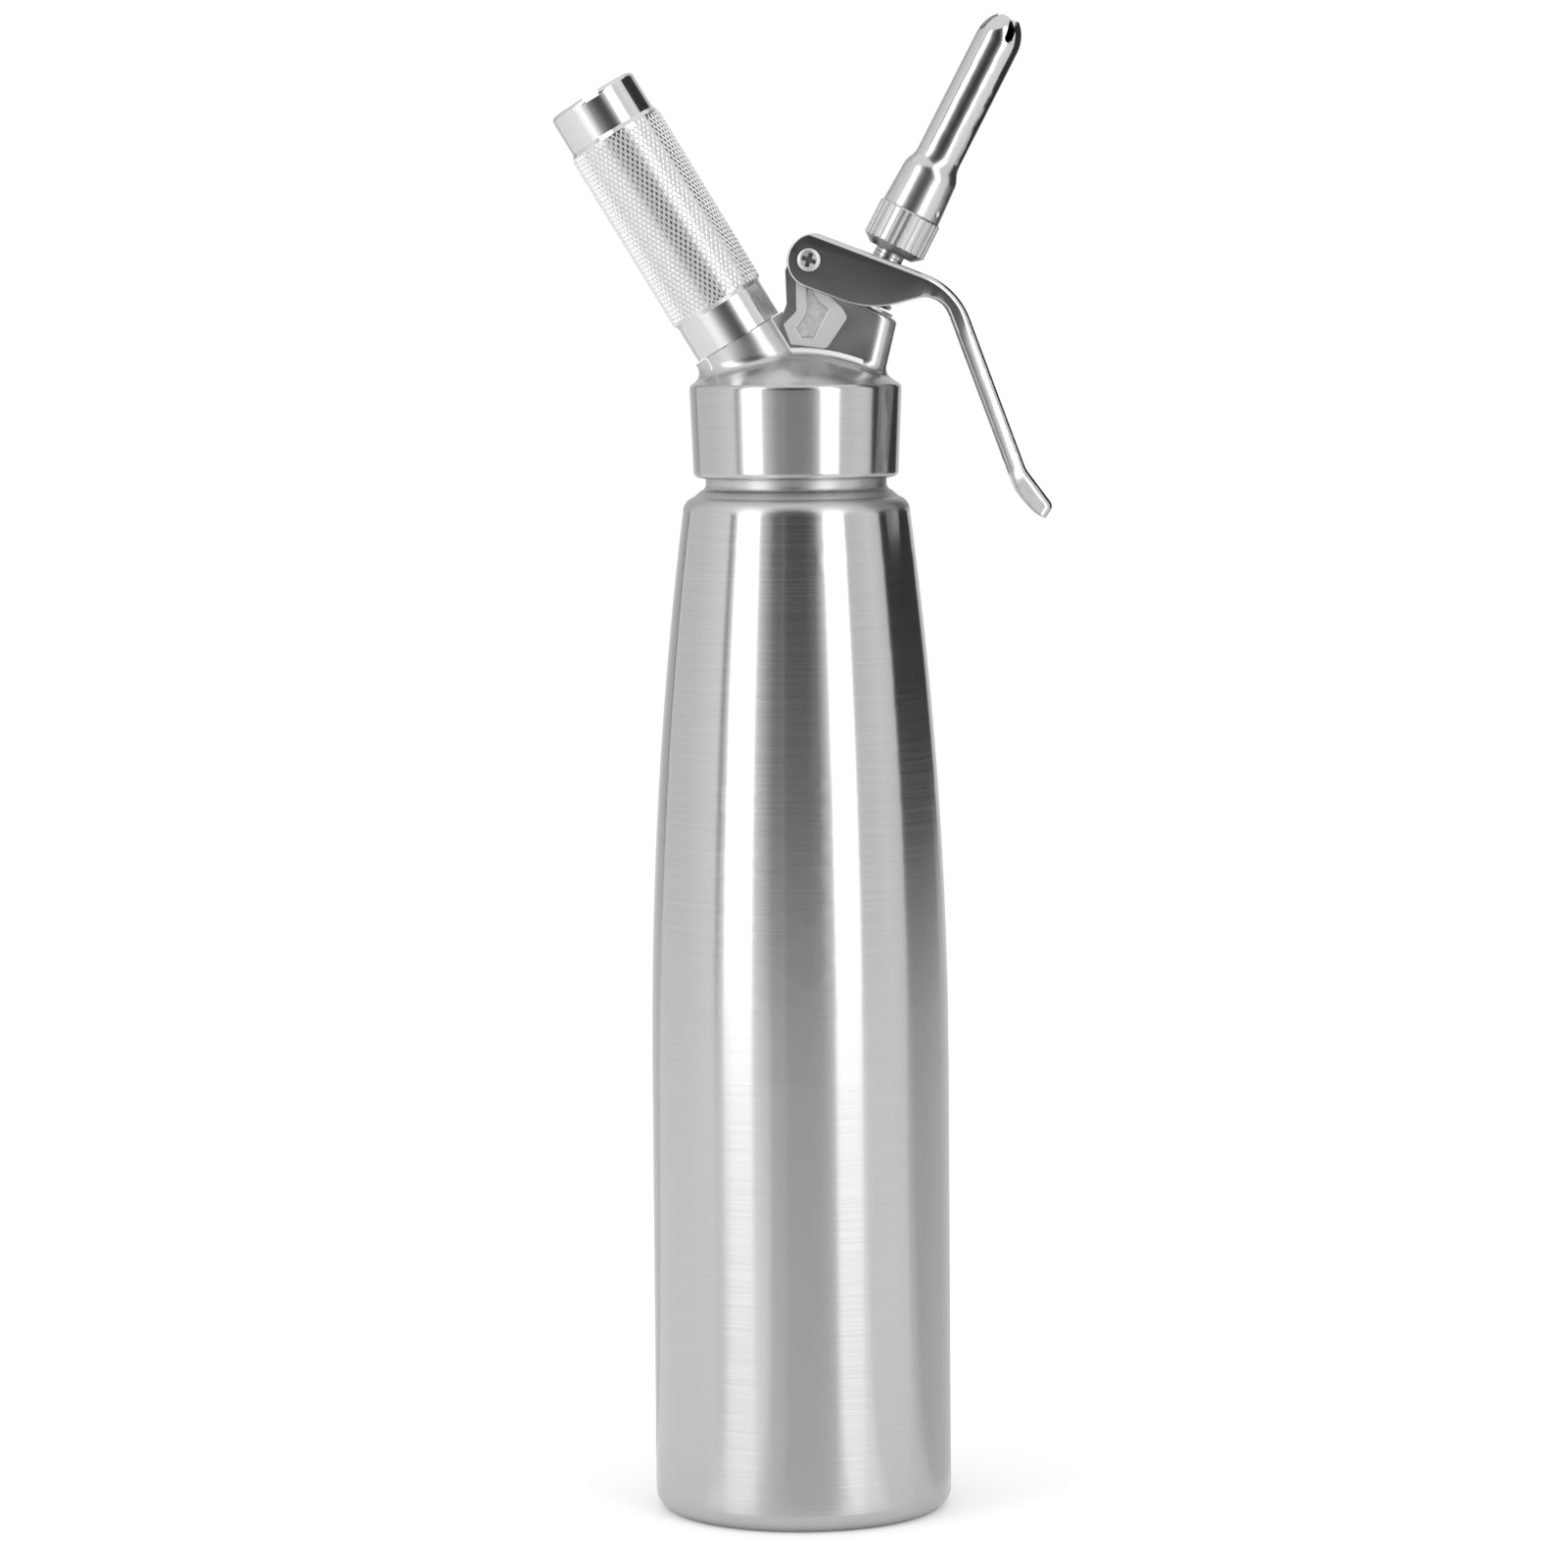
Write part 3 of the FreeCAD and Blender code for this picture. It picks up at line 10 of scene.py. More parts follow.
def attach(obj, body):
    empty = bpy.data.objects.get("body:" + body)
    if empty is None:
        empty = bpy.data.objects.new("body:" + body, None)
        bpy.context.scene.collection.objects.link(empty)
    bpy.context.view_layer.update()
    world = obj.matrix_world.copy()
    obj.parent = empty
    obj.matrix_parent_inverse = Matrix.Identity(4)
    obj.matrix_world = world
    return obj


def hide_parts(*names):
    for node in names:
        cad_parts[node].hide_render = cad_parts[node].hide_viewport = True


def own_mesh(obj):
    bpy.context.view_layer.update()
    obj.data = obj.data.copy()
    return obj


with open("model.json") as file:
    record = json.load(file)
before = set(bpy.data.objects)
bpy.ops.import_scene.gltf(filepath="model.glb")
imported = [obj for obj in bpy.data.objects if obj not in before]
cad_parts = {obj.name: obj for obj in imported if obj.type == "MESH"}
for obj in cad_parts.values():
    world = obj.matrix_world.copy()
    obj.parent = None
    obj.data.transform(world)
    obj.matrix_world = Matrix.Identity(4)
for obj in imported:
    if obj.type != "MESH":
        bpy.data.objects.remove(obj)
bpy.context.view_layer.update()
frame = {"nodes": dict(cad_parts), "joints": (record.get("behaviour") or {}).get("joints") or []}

bl_info = {
    "name": "Whipped Cream Dispenser",
    "version": (1, 0, 0),
    "blender": (4, 5, 0),
    "location": "View3D > Sidebar > Dispenser",
    "description": "Finishes, knurl, threads, spring, crowned lever, crossed screw and studio of a dispenser",
    "category": "Object",
}

NODES = frame["nodes"]
JOINTS = {joint["name"]: joint for joint in frame["joints"]}
MM = 0.001
UPRIGHT = Matrix.Identity(4)


# ---------------------------------------------------------------- places

def axis_frame(joint_name):
    """The matrix whose Z runs along a hinge from its centre."""
    joint = JOINTS[joint_name]
    turn = Vector(joint["axis"]).to_track_quat("Z", "Y").to_matrix().to_4x4()
    return Matrix.Translation(joint["pos_m"]) @ turn


def along(node, axis):
    """How far a CAD node reaches along an axis frame's Z, lowest and highest, with its greatest radius."""
    inverse = axis.inverted()
    points = [inverse @ vertex.co for vertex in NODES[node].data.vertices]
    heights = [point.z for point in points]
    return min(heights), max(heights), max(point.xy.length for point in points)


def square_to(run):
    """The direction square to a run of the lever, away from the flask."""
    return Vector((-run.z, 0.0, run.x))


CHARGER_AXIS = axis_frame("holder_unscrew")
VALVE_AXIS = axis_frame("nozzle_unscrew")
PIVOT = Vector(JOINTS["lever_squeeze"]["pos_m"])

HOLDER_FOOT, _, HOLDER_RADIUS = along("charger_holder", CHARGER_AXIS)
SPRING_FOOT, SPRING_TOP, SPRING_RADIUS = along("valve_spring", VALVE_AXIS)
_, STEM_TOP, STEM_RADIUS = along("valve_stem", VALVE_AXIS)
_, NECK_TOP, _ = along("flask", UPRIGHT)
TIP_FOOT = along("decorating_tip", VALVE_AXIS)[0]
SCREW_FRONT = min(vertex.co.y for vertex in NODES["pivot_screw"].data.vertices)
NOTCH_DEPTH = 0.6 * MM
NOTCH_REACH = 0.35 * MM

# The flask's shoulder, and the top of the cap that screws on its neck.
SHOULDER_TOP = 270.0 * MM
CAP_TOP = 304.5 * MM

# Each thread's radius at its root and the stretch it is wound on.
NECK_RADIUS = 24.2 * MM
NECK_THREAD = (NECK_TOP - 17.5 * MM, NECK_TOP - 2.5 * MM)
STUD_RADIUS = 10.2 * MM
STUD_THREAD = (HOLDER_FOOT + 0.6 * MM, HOLDER_FOOT + 8.9 * MM)
STEM_THREAD = (SPRING_TOP + 4.2 * MM, STEM_TOP - 0.6 * MM)

# The web's pad and the field sunk in it, as distances from the middle plane, and how far they spread.
PAD_FACE = 9.4 * MM
PAD_WALL = 9.05 * MM
FIELD_FACE = 8.1 * MM
PAD_FOOT = CAP_TOP + 3.0 * MM
PAD_END = 18.0 * MM

# The lever's handle runs from its bend to its knee, and the turned-up spoon on from there to the tip.
LEVER_BEND = Vector((43.23, 0.0, 329.24)) * MM
LEVER_KNEE = Vector((61.16, 0.0, 280.63)) * MM
LEVER_TIP = max((vertex.co.copy() for vertex in NODES["lever"].data.vertices), key=lambda place: place.x)
HANDLE_RUN = (LEVER_KNEE - LEVER_BEND).normalized()
HANDLE_BACK = square_to(HANDLE_RUN)
HANDLE_THICKNESS = 4.4 * MM
HANDLE_HALF_WIDTH = 10.0 * MM
SPOON_RUN = (Vector((LEVER_TIP.x, 0.0, LEVER_TIP.z)) - LEVER_KNEE).normalized()
SPOON_BACK = square_to(SPOON_RUN)
SPOON_THICKNESS = 5.4 * MM

MERGE = 0.0001 * MM


# ---------------------------------------------------------------- sizes and colours a user would change

def length(name, description, default):
    return bpy.props.FloatProperty(name=name, description=description, default=default, min=0.0,
                                   subtype="DISTANCE", unit="LENGTH", precision=5)


def share(name, description, default):
    return bpy.props.FloatProperty(name=name, description=description, default=default, min=0.0, max=1.0,
                                   subtype="FACTOR")


def level(name, description, default):
    return bpy.props.FloatProperty(name=name, description=description, default=default, min=0.0)


def count(name, description, default):
    return bpy.props.IntProperty(name=name, description=description, default=default, min=1)


def linear(hex_colour):
    """An sRGB hex colour as linear RGBA."""
    levels = [int(hex_colour[start:start + 2], 16) / 255 for start in (1, 3, 5)]
    return tuple(v / 12.92 if v <= 0.04045 else ((v + 0.055) / 1.055) ** 2.4 for v in levels) + (1.0,)


def colour(name, description, hex_colour):
    return bpy.props.FloatVectorProperty(name=name, description=description, default=linear(hex_colour),
                                         size=4, min=0.0, max=1.0, subtype="COLOR")


class KnurlSizes(bpy.types.PropertyGroup):
    columns: count("Columns", "Diamonds round the grip", 58)
    rows: count("Rows", "Rows of diamonds along the grip", 42)
    row_spacing: length("Row spacing", "Distance between neighbouring rows", 1.215 * MM)
    start: length("Start", "Distance from the holder's foot to the first row", 12.0 * MM)
    root: length("Root", "Radius that the diamonds stand on", HOLDER_RADIUS - 0.03 * MM)
    depth: length("Depth", "Height of a diamond above the grooves", 0.36 * MM)
    flat: share("Flat top", "Share of a diamond's width that stays flat on top", 0.5)


class ThreadSizes(bpy.types.PropertyGroup):
    flask_pitch: length("Flask pitch", "Pitch of the flask's thread", 4.0 * MM)
    flask_height: length("Flask ridge", "Height of the flask's thread ridge", 0.26 * MM)
    stud_pitch: length("Stud pitch", "Pitch of the charger stud's thread", 1.75 * MM)
    stud_height: length("Stud ridge", "Height of the charger stud's thread ridge", 0.26 * MM)
    stem_pitch: length("Stem pitch", "Pitch of the valve stem's thread", 1.0 * MM)
    stem_height: length("Stem ridge", "Height of the valve stem's thread ridge", 0.13 * MM)


class SpringSizes(bpy.types.PropertyGroup):
    turns: level("Turns", "Turns of the valve spring", 2.25)
    wire: length("Wire", "Radius of the spring's wire", 0.5 * MM)
    radius: length("Radius", "Radius of the spring at the wire's centre", SPRING_RADIUS - 0.5 * MM)


class LeverSizes(bpy.types.PropertyGroup):
    reach: length("Handle reach", "How far below the bend the sides reach their full crown", 15.0 * MM)
    depth: length("Crown", "How much narrower the handle's back is on each side", 0.38 * MM)
    spoon_depth: length("Spoon crown", "How much narrower the spoon's back is on each side", 0.7 * MM)


class ScrewSizes(bpy.types.PropertyGroup):
    cross_width: length("Cross width", "Width of the cross recess's arms", 1.15 * MM)
    cross_span: length("Cross span", "Span of the cross recess", 3.9 * MM)
    cross_depth: length("Cross depth", "Depth of the cross recess", 1.3 * MM)
    notch: length("Notch", "Width of the two small notches at the rim", 0.5 * MM)
    turn: bpy.props.FloatProperty(name="Turn", description="How far the cross is turned",
                                  default=math.radians(20), subtype="ANGLE", unit="ROTATION")


class FinishColours(bpy.types.PropertyGroup):
    stainless: colour("Stainless steel", "Reflection colour of the flask and turned steel", "#C8C8C9")
    cast: colour("Cast stainless", "Reflection colour of the head's cast surfaces", "#C5C5C5")
    # The wall round the pad takes the blasted colour whole, as a painted highlight along its bevel; the pad
    # and its sunk field are painted towards the pitted grey, the field darker as painted shade.
    blasted: colour("Blasted stainless", "Reflection colour of the wall round the head's pad", "#FAFAFA")
    pitted_and_shaded: colour("Pitted stainless", "Reflection colour of the deepest pits in the pad's field", "#959595")
    polished: colour("Polished stainless", "Reflection colour of the lever and the tip", "#CECECF")
    aluminium: colour("Aluminium", "Reflection colour of the charger holder", "#DDDDDE")
    rolled: colour("Rolled aluminium", "Reflection colour of the holder's knurl", "#E8E8E8")
    spring: colour("Spring steel", "Reflection colour of the spring's wire", "#BDBDBD")
    zinc: colour("Zinc", "Reflection colour of the gas charger's plating", "#BFC3C6")
    silicone: colour("Silicone", "Colour of the seals", "#C9CBC9")
    acetal: colour("Acetal", "Colour of the guide bush", "#E9E7E0")


class StudioLevels(bpy.types.PropertyGroup):
    softbox: level("Softbox", "Radiance of the two strip softboxes", 1.7)
    world: level("World", "Strength of the world's light on matt surfaces", 0.9)
    floor: colour("Floor", "Colour of the floor", "#FAFAFA")
    glow: level("Floor glow", "Floor's light towards the eye", 0.16)


# ---------------------------------------------------------------- materials

MATERIALS = {}
WHITE = linear("#FFFFFF")

# Noise keeps to its middle, so this much of it is spread over the whole range of a finish.
MIDDLE = {"From Min": 0.3, "From Max": 0.7}


def add_node(tree, kind, inputs=None, **settings):
    """Adds a node with its settings, and gives its inputs values, sockets or other nodes' first outputs."""
    node = tree.nodes.new(kind)
    for name, setting in settings.items():
        setattr(node, name, setting)
    for name, given in (inputs or {}).items():
        if isinstance(given, bpy.types.Node):
            given = given.outputs[0]
        if isinstance(given, bpy.types.NodeSocket):
            tree.links.new(given, node.inputs[name])
        else:
            node.inputs[name].default_value = given
    return node


def blank_material(name):
    """A new material and its empty tree."""
    material = bpy.data.materials.new(name)
    material.use_nodes = True
    material.node_tree.nodes.clear()
    return material, material.node_tree


def darker(base, part):
    """A colour with only a part of its light."""
    return tuple(channel * part for channel in base[:3]) + (1.0,)


def on_axis(tree, axis):
    """Object coordinates moved and turned so that Z runs along an axis."""
    place = add_node(tree, "ShaderNodeTexCoord").outputs["Object"]
    centre = axis.inverted()
    return add_node(tree, "ShaderNodeMapping", {
        "Vector": place, "Location": tuple(centre.to_translation()), "Rotation": tuple(centre.to_euler())})


def tangent_along(tree, direction):
    """The surface direction nearest to an axis, which spreads a highlight along that axis."""
    normal = add_node(tree, "ShaderNodeNewGeometry").outputs["Normal"]
    across = add_node(tree, "ShaderNodeVectorMath", {0: normal, 1: tuple(direction)},
                      operation="CROSS_PRODUCT")
    back = add_node(tree, "ShaderNodeVectorMath", {0: across, 1: normal}, operation="CROSS_PRODUCT")
    return add_node(tree, "ShaderNodeVectorMath", {0: back}, operation="NORMALIZE")


def turned_rings(tree, axis, ring_width, seed):
    """Noise that changes only along an axis and slowly round it, as lathe and brushing rings do."""
    # One noise cell is one ring wide along the axis and many rings long round it.
    stretched = add_node(tree, "ShaderNodeMapping", {
        "Vector": on_axis(tree, axis), "Location": (seed, 0.0, 0.0), "Scale": (25.0, 25.0, 1.0 / ring_width)})
    return add_node(tree, "ShaderNodeTexNoise", {
        "Vector": stretched, "Scale": 1.0, "Detail": 3.0, "Roughness": 0.6}).outputs["Fac"]


def varied(tree, noise, base, part, low, high):
    """A colour that noise darkens to a part of its light, and a roughness that it spreads low to high."""
    tone = add_node(tree, "ShaderNodeMapRange", {"Value": noise, **MIDDLE})
    tint = add_node(tree, "ShaderNodeMix", {0: tone, 6: darker(base, part), 7: tuple(base)}, data_type="RGBA")
    rough = add_node(tree, "ShaderNodeMapRange", {"Value": noise, **MIDDLE, "To Min": low, "To Max": high})
    return tint.outputs[2], rough


def ring_brushed_metal(name, base, axis, ring_width, roughness, spread, seed=0.0, satin_from=None):
    """Metal turned or brushed in rings: mirror images stay sharp round the wall and smear along its axis.

    Above satin_from it is turned and left satin, so its mirror images are soft both ways."""
    material, tree = blank_material(name)
    rings = turned_rings(tree, axis, ring_width, seed)
    tint, grain = varied(tree, rings, base, 0.94, roughness * 0.88, roughness * 1.12)
    grooves = add_node(tree, "ShaderNodeBump", {"Strength": 0.05, "Distance": 0.1 * MM, "Height": rings})
    metal = add_node(tree, "ShaderNodeBsdfPrincipled", {
        "Base Color": tint, "Metallic": 1.0, "Roughness": grain, "Anisotropic": spread,
        "Tangent": tangent_along(tree, axis.to_3x3().col[2]), "Normal": grooves})
    if satin_from is not None:
        place = add_node(tree, "ShaderNodeTexCoord").outputs["Object"]
        height = add_node(tree, "ShaderNodeSeparateXYZ", {0: place}).outputs["Z"]
        satin = add_node(tree, "ShaderNodeMapRange", {
            "Value": height, "From Min": satin_from - 0.5 * MM, "From Max": satin_from + 1.0 * MM})
        rough = add_node(tree, "ShaderNodeMath", {0: satin, 1: 0.22, 2: grain}, operation="MULTIPLY_ADD")
        plain = add_node(tree, "ShaderNodeMapRange", {"Value": satin, "To Min": spread, "To Max": 0.3})
        tree.links.new(rough.outputs[0], metal.inputs["Roughness"])
        tree.links.new(plain.outputs[0], metal.inputs["Anisotropic"])
    add_node(tree, "ShaderNodeOutputMaterial", {"Surface": metal})
    return material


def polished_steel(name, base, roughness):
    """Steel polished on a mop or drawn through a die: a near mirror, with a faint wander of its surface."""
    material, tree = blank_material(name)
    place = add_node(tree, "ShaderNodeTexCoord").outputs["Object"]
    # The mop's hollows are about 12 mm across.
    wander = add_node(tree, "ShaderNodeTexNoise", {
        "Vector": place, "Scale": 1.0 / (12.0 * MM), "Detail": 1.0, "Roughness": 0.4}).outputs["Fac"]
    tint, rough = varied(tree, wander, base, 0.97, roughness * 0.9, roughness * 1.1)
    hollows = add_node(tree, "ShaderNodeBump", {"Strength": 0.1, "Distance": 0.4 * MM, "Height": wander})
    steel = add_node(tree, "ShaderNodeBsdfPrincipled", {
        "Base Color": tint, "Metallic": 1.0, "Roughness": rough, "Normal": hollows})
    add_node(tree, "ShaderNodeOutputMaterial", {"Surface": steel})
    return material


def knurled_aluminium(name, base, axis, root, top):
    """Aluminium rolled to a knurl: the diamonds' flats stay bright from turning, the grooves are matt."""
    material, tree = blank_material(name)
    flat = add_node(tree, "ShaderNodeVectorMath", {0: on_axis(tree, axis), 1: (1.0, 1.0, 0.0)},
                    operation="MULTIPLY")
    radius = add_node(tree, "ShaderNodeVectorMath", {0: flat}, operation="LENGTH").outputs["Value"]
    rough = add_node(tree, "ShaderNodeMapRange", {
        "Value": radius, "From Min": root, "From Max": top, "To Min": 0.6, "To Max": 0.13})
    metal = add_node(tree, "ShaderNodeBsdfPrincipled", {
        "Base Color": tuple(base), "Metallic": 1.0, "Roughness": rough})
    add_node(tree, "ShaderNodeOutputMaterial", {"Surface": metal})
    return material


def screw_steel(name, base, roughness):
    """Turned stainless, satin from the lathe; the pressed cross recess is painted darker, as painted shade.
    """
    material, tree = blank_material(name)
    place = add_node(tree, "ShaderNodeTexCoord").outputs["Object"]
    offset = add_node(tree, "ShaderNodeVectorMath", {0: place, 1: tuple(PIVOT)}, operation="SUBTRACT")
    flat = add_node(tree, "ShaderNodeVectorMath", {0: offset, 1: (1.0, 0.0, 1.0)}, operation="MULTIPLY")
    radius = add_node(tree, "ShaderNodeVectorMath", {0: flat}, operation="LENGTH").outputs["Value"]
    depth = add_node(tree, "ShaderNodeSeparateXYZ", {0: offset}).outputs["Y"]
    inner = add_node(tree, "ShaderNodeMath", {0: radius, 1: 2.1 * MM}, operation="LESS_THAN")
    low = add_node(tree, "ShaderNodeMath", {0: depth, 1: SCREW_FRONT + 0.4 * MM}, operation="GREATER_THAN")
    recess = add_node(tree, "ShaderNodeMath", {0: inner, 1: low}, operation="MULTIPLY")
    # Painted shade: the cross recess takes 30% of the steel's colour so that the cross reads dark.
    tint = add_node(tree, "ShaderNodeMix", {
        0: recess, 6: tuple(base), 7: darker(base, 0.3)}, data_type="RGBA")
    steel = add_node(tree, "ShaderNodeBsdfPrincipled", {
        "Base Color": tint.outputs[2], "Metallic": 1.0, "Roughness": roughness})
    add_node(tree, "ShaderNodeOutputMaterial", {"Surface": steel})
    return material


def drawn_steel(name, base, roughness):
    """Stainless tube drawn and polished to a mirror, and softer on the flare that the mop cannot reach."""
    material, tree = blank_material(name)
    place = add_node(tree, "ShaderNodeTexCoord").outputs["Object"]
    upward = VALVE_AXIS.to_3x3().col[2]
    foot = VALVE_AXIS.translation.dot(upward) + TIP_FOOT
    run = add_node(tree, "ShaderNodeVectorMath", {0: place, 1: tuple(upward)}, operation="DOT_PRODUCT")
    rough = add_node(tree, "ShaderNodeMapRange", {
        "Value": run.outputs["Value"], "From Min": foot + 15.0 * MM, "From Max": foot + 19.0 * MM,
        "To Min": 0.24, "To Max": roughness})
    # Drawing leaves the tube's wall wavy, about 6 mm from wave to wave.
    wander = add_node(tree, "ShaderNodeTexNoise", {
        "Vector": place, "Scale": 1.0 / (6.0 * MM), "Detail": 1.0, "Roughness": 0.4}).outputs["Fac"]
    waves = add_node(tree, "ShaderNodeBump", {"Strength": 0.3, "Distance": 0.5 * MM, "Height": wander})
    steel = add_node(tree, "ShaderNodeBsdfPrincipled", {
        "Base Color": tuple(base), "Metallic": 1.0, "Roughness": rough, "Normal": waves})
    add_node(tree, "ShaderNodeOutputMaterial", {"Surface": steel})
    return material


def cast_steel(name, tones, ring_width):
    """Investment-cast stainless: polished dome and web, blasted pad, and a cap turned in rings."""
    material, tree = blank_material(name)
    place = add_node(tree, "ShaderNodeTexCoord").outputs["Object"]
    parts = add_node(tree, "ShaderNodeSeparateXYZ", {0: place}).outputs
    blasted, shade = blasted_pad(tree, place, parts)
    turned = add_node(tree, "ShaderNodeMapRange", {
        "Value": parts["Z"], "From Min": CAP_TOP - 0.4 * MM, "From Max": CAP_TOP + 0.4 * MM,
        "To Min": 1.0, "To Max": 0.0})

    # Hand polishing leaves the cast surface in soft lumps about 20 mm across.
    wander = add_node(tree, "ShaderNodeTexNoise", {
        "Vector": place, "Scale": 1.0 / (20.0 * MM), "Detail": 1.0, "Roughness": 0.4}).outputs["Fac"]
    lumps = add_node(tree, "ShaderNodeBump", {"Strength": 0.8, "Distance": 2.0 * MM, "Height": wander})
    hand_rough = add_node(tree, "ShaderNodeMapRange", {
        "Value": wander, **MIDDLE, "To Min": 0.22, "To Max": 0.28})
    polished = add_node(tree, "ShaderNodeBsdfPrincipled", {
        "Base Color": tuple(tones.cast), "Metallic": 1.0, "Roughness": hand_rough, "Normal": lumps})

    # Blasting leaves a grit of 1 to 2 mm pits from the mould's sand, which scatters all light.
    skin = cast_skin(tree, place)
    grit = add_node(tree, "ShaderNodeBump", {"Strength": 0.5, "Distance": 0.25 * MM, "Height": skin})
    # Painted highlight and shade: the wall keeps the blasted colour whole, and the pad and the sunk field are
    # mixed towards the pitted grey.
    tint = add_node(tree, "ShaderNodeMix", {
        0: shade, 6: tuple(tones.blasted), 7: tuple(tones.pitted_and_shaded)}, data_type="RGBA")
    satin = add_node(tree, "ShaderNodeBsdfPrincipled", {
        "Base Color": tint.outputs[2], "Metallic": 1.0, "Roughness": 0.55, "Normal": grit})

    rings = turned_rings(tree, UPRIGHT, ring_width, 3.0)
    ring_tint, ring_rough = varied(tree, rings, tones.cast, 0.94, 0.19, 0.22)
    grooves = add_node(tree, "ShaderNodeBump", {"Strength": 0.012, "Distance": 0.1 * MM, "Height": rings})
    lathe = add_node(tree, "ShaderNodeBsdfPrincipled", {
        "Base Color": ring_tint, "Metallic": 1.0, "Roughness": ring_rough, "Anisotropic": 0.9,
        "Tangent": tangent_along(tree, (0.0, 0.0, 1.0)), "Normal": grooves})

    upper = add_node(tree, "ShaderNodeMixShader", {0: blasted, 1: polished, 2: satin})
    whole = add_node(tree, "ShaderNodeMixShader", {0: turned, 1: upper, 2: lathe})
    add_node(tree, "ShaderNodeOutputMaterial", {"Surface": whole})
    return material


def cast_skin(tree, place):
    """The dimples that the sand of the mould's shell leaves."""
    return add_node(tree, "ShaderNodeTexNoise", {
        "Vector": place, "Scale": 1.0 / (1.6 * MM), "Detail": 4.0, "Roughness": 0.6}).outputs["Fac"]


def blasted_pad(tree, place, parts):
    """Where the web's pad, its wall and its sunk field are, and how dark their blasted metal is painted
    there: the wall lightest, as a painted highlight along its bevel, and the sunk field darker than the pad,
    as painted shade speckled at random by the cast skin.
    """
    side = add_node(tree, "ShaderNodeMath", {0: parts["Y"]}, operation="ABSOLUTE")
    pad = add_node(tree, "ShaderNodeMath", {0: side, 1: PAD_FACE, 2: 0.1 * MM}, operation="COMPARE")
    wall = add_node(tree, "ShaderNodeMath", {0: side, 1: PAD_WALL, 2: 0.2 * MM}, operation="COMPARE")
    field = add_node(tree, "ShaderNodeMath", {0: side, 1: FIELD_FACE, 2: 0.1 * MM}, operation="COMPARE")
    above = add_node(tree, "ShaderNodeMath", {0: parts["Z"], 1: PAD_FOOT}, operation="GREATER_THAN")
    beside = add_node(tree, "ShaderNodeMath", {0: parts["X"], 1: PAD_END}, operation="LESS_THAN")
    blasted = pad
    for mask, joined in ((field, "MAXIMUM"), (wall, "MAXIMUM"), (above, "MULTIPLY"), (beside, "MULTIPLY")):
        blasted = add_node(tree, "ShaderNodeMath", {0: blasted, 1: mask}, operation=joined)
    # The sunk field is painted darker than the pad on average, as painted shade, with a random speckle from
    # the cast skin; the wall gets none, as a painted highlight.
    pits = add_node(tree, "ShaderNodeMapRange", {
        "Value": cast_skin(tree, place), **MIDDLE, "To Min": 0.31, "To Max": 0.62})
    in_field = add_node(tree, "ShaderNodeMath", {0: field, 1: pits}, operation="MULTIPLY")
    shade = add_node(tree, "ShaderNodeMath", {0: pad, 1: 0.38, 2: in_field}, operation="MULTIPLY_ADD")
    return blasted, shade


def moulded_plastic(name, base, roughness):
    """Moulded rubber or plastic: matt, with the faint unevenness of its mould, under a millimetre across."""
    material, tree = blank_material(name)
    place = add_node(tree, "ShaderNodeTexCoord").outputs["Object"]
    grain = add_node(tree, "ShaderNodeTexNoise", {
        "Vector": place, "Scale": 1.0 / (0.8 * MM), "Detail": 3.0, "Roughness": 0.5}).outputs["Fac"]
    tint = add_node(tree, "ShaderNodeMix", {0: grain, 6: darker(base, 0.9), 7: tuple(base)}, data_type="RGBA")
    rough = add_node(tree, "ShaderNodeMapRange", {
        "Value": grain, **MIDDLE, "To Min": roughness * 0.9, "To Max": roughness * 1.1})
    bump = add_node(tree, "ShaderNodeBump", {"Strength": 0.2, "Distance": 0.1 * MM, "Height": grain})
    plastic = add_node(tree, "ShaderNodeBsdfPrincipled", {
        "Base Color": tint.outputs[2], "Roughness": rough, "Normal": bump})
    add_node(tree, "ShaderNodeOutputMaterial", {"Surface": plastic})
    return material


def cover(node, material):
    """Puts a material in every slot of a CAD node."""
    slots = NODES[node].data.materials
    if not slots:
        slots.append(material)
    for index in range(len(slots)):
        slots[index] = material


def new_object(name, data):
    """A new object in the scene."""
    made = bpy.data.objects.new(name, data)
    bpy.context.scene.collection.objects.link(made)
    return made


def bake(piece, modifier):
    """Puts what a modifier makes in place of a piece's mesh."""
    made = bpy.data.meshes.new_from_object(piece.evaluated_get(bpy.context.evaluated_depsgraph_get()))
    piece.modifiers.remove(modifier)
    piece.data = made


# ---------------------------------------------------------------- Geometry Nodes

def new_tree(name, sizes, counts=()):
    """A Geometry Nodes tree with named number inputs and a geometry output, and those inputs' sockets."""
    tree = bpy.data.node_groups.new(name, "GeometryNodeTree")
    for labels, kind in ((counts, "NodeSocketInt"), (sizes, "NodeSocketFloat")):
        for label in labels:
            tree.interface.new_socket(label, in_out="INPUT", socket_type=kind)
    tree.interface.new_socket("Geometry", in_out="OUTPUT", socket_type="NodeSocketGeometry")
    return tree, add_node(tree, "NodeGroupInput").outputs


def finish_tree(tree, geometry, finish):
    """Ends a tree in Realize Instances and Set Material."""
    real = add_node(tree, "GeometryNodeRealizeInstances", {"Geometry": geometry})
    painted = add_node(tree, "GeometryNodeSetMaterial", {"Geometry": real, "Material": MATERIALS[finish]})
    add_node(tree, "NodeGroupOutput", {"Geometry": painted})
    return tree


def made_by(tree, name, sizes, place):
    """Runs a tree on an empty mesh, bakes the result to a plain mesh and moves it into place."""
    host = new_object(name, bpy.data.meshes.new(name))
    modifier = host.modifiers.new("Maker", "NODES")
    modifier.node_group = tree
    for item in tree.interface.items_tree:
        if item.in_out == "INPUT":
            modifier[item.identifier] = sizes[item.name]
    bake(host, modifier)
    host.data.name = name
    host.data.transform(place)
    return host


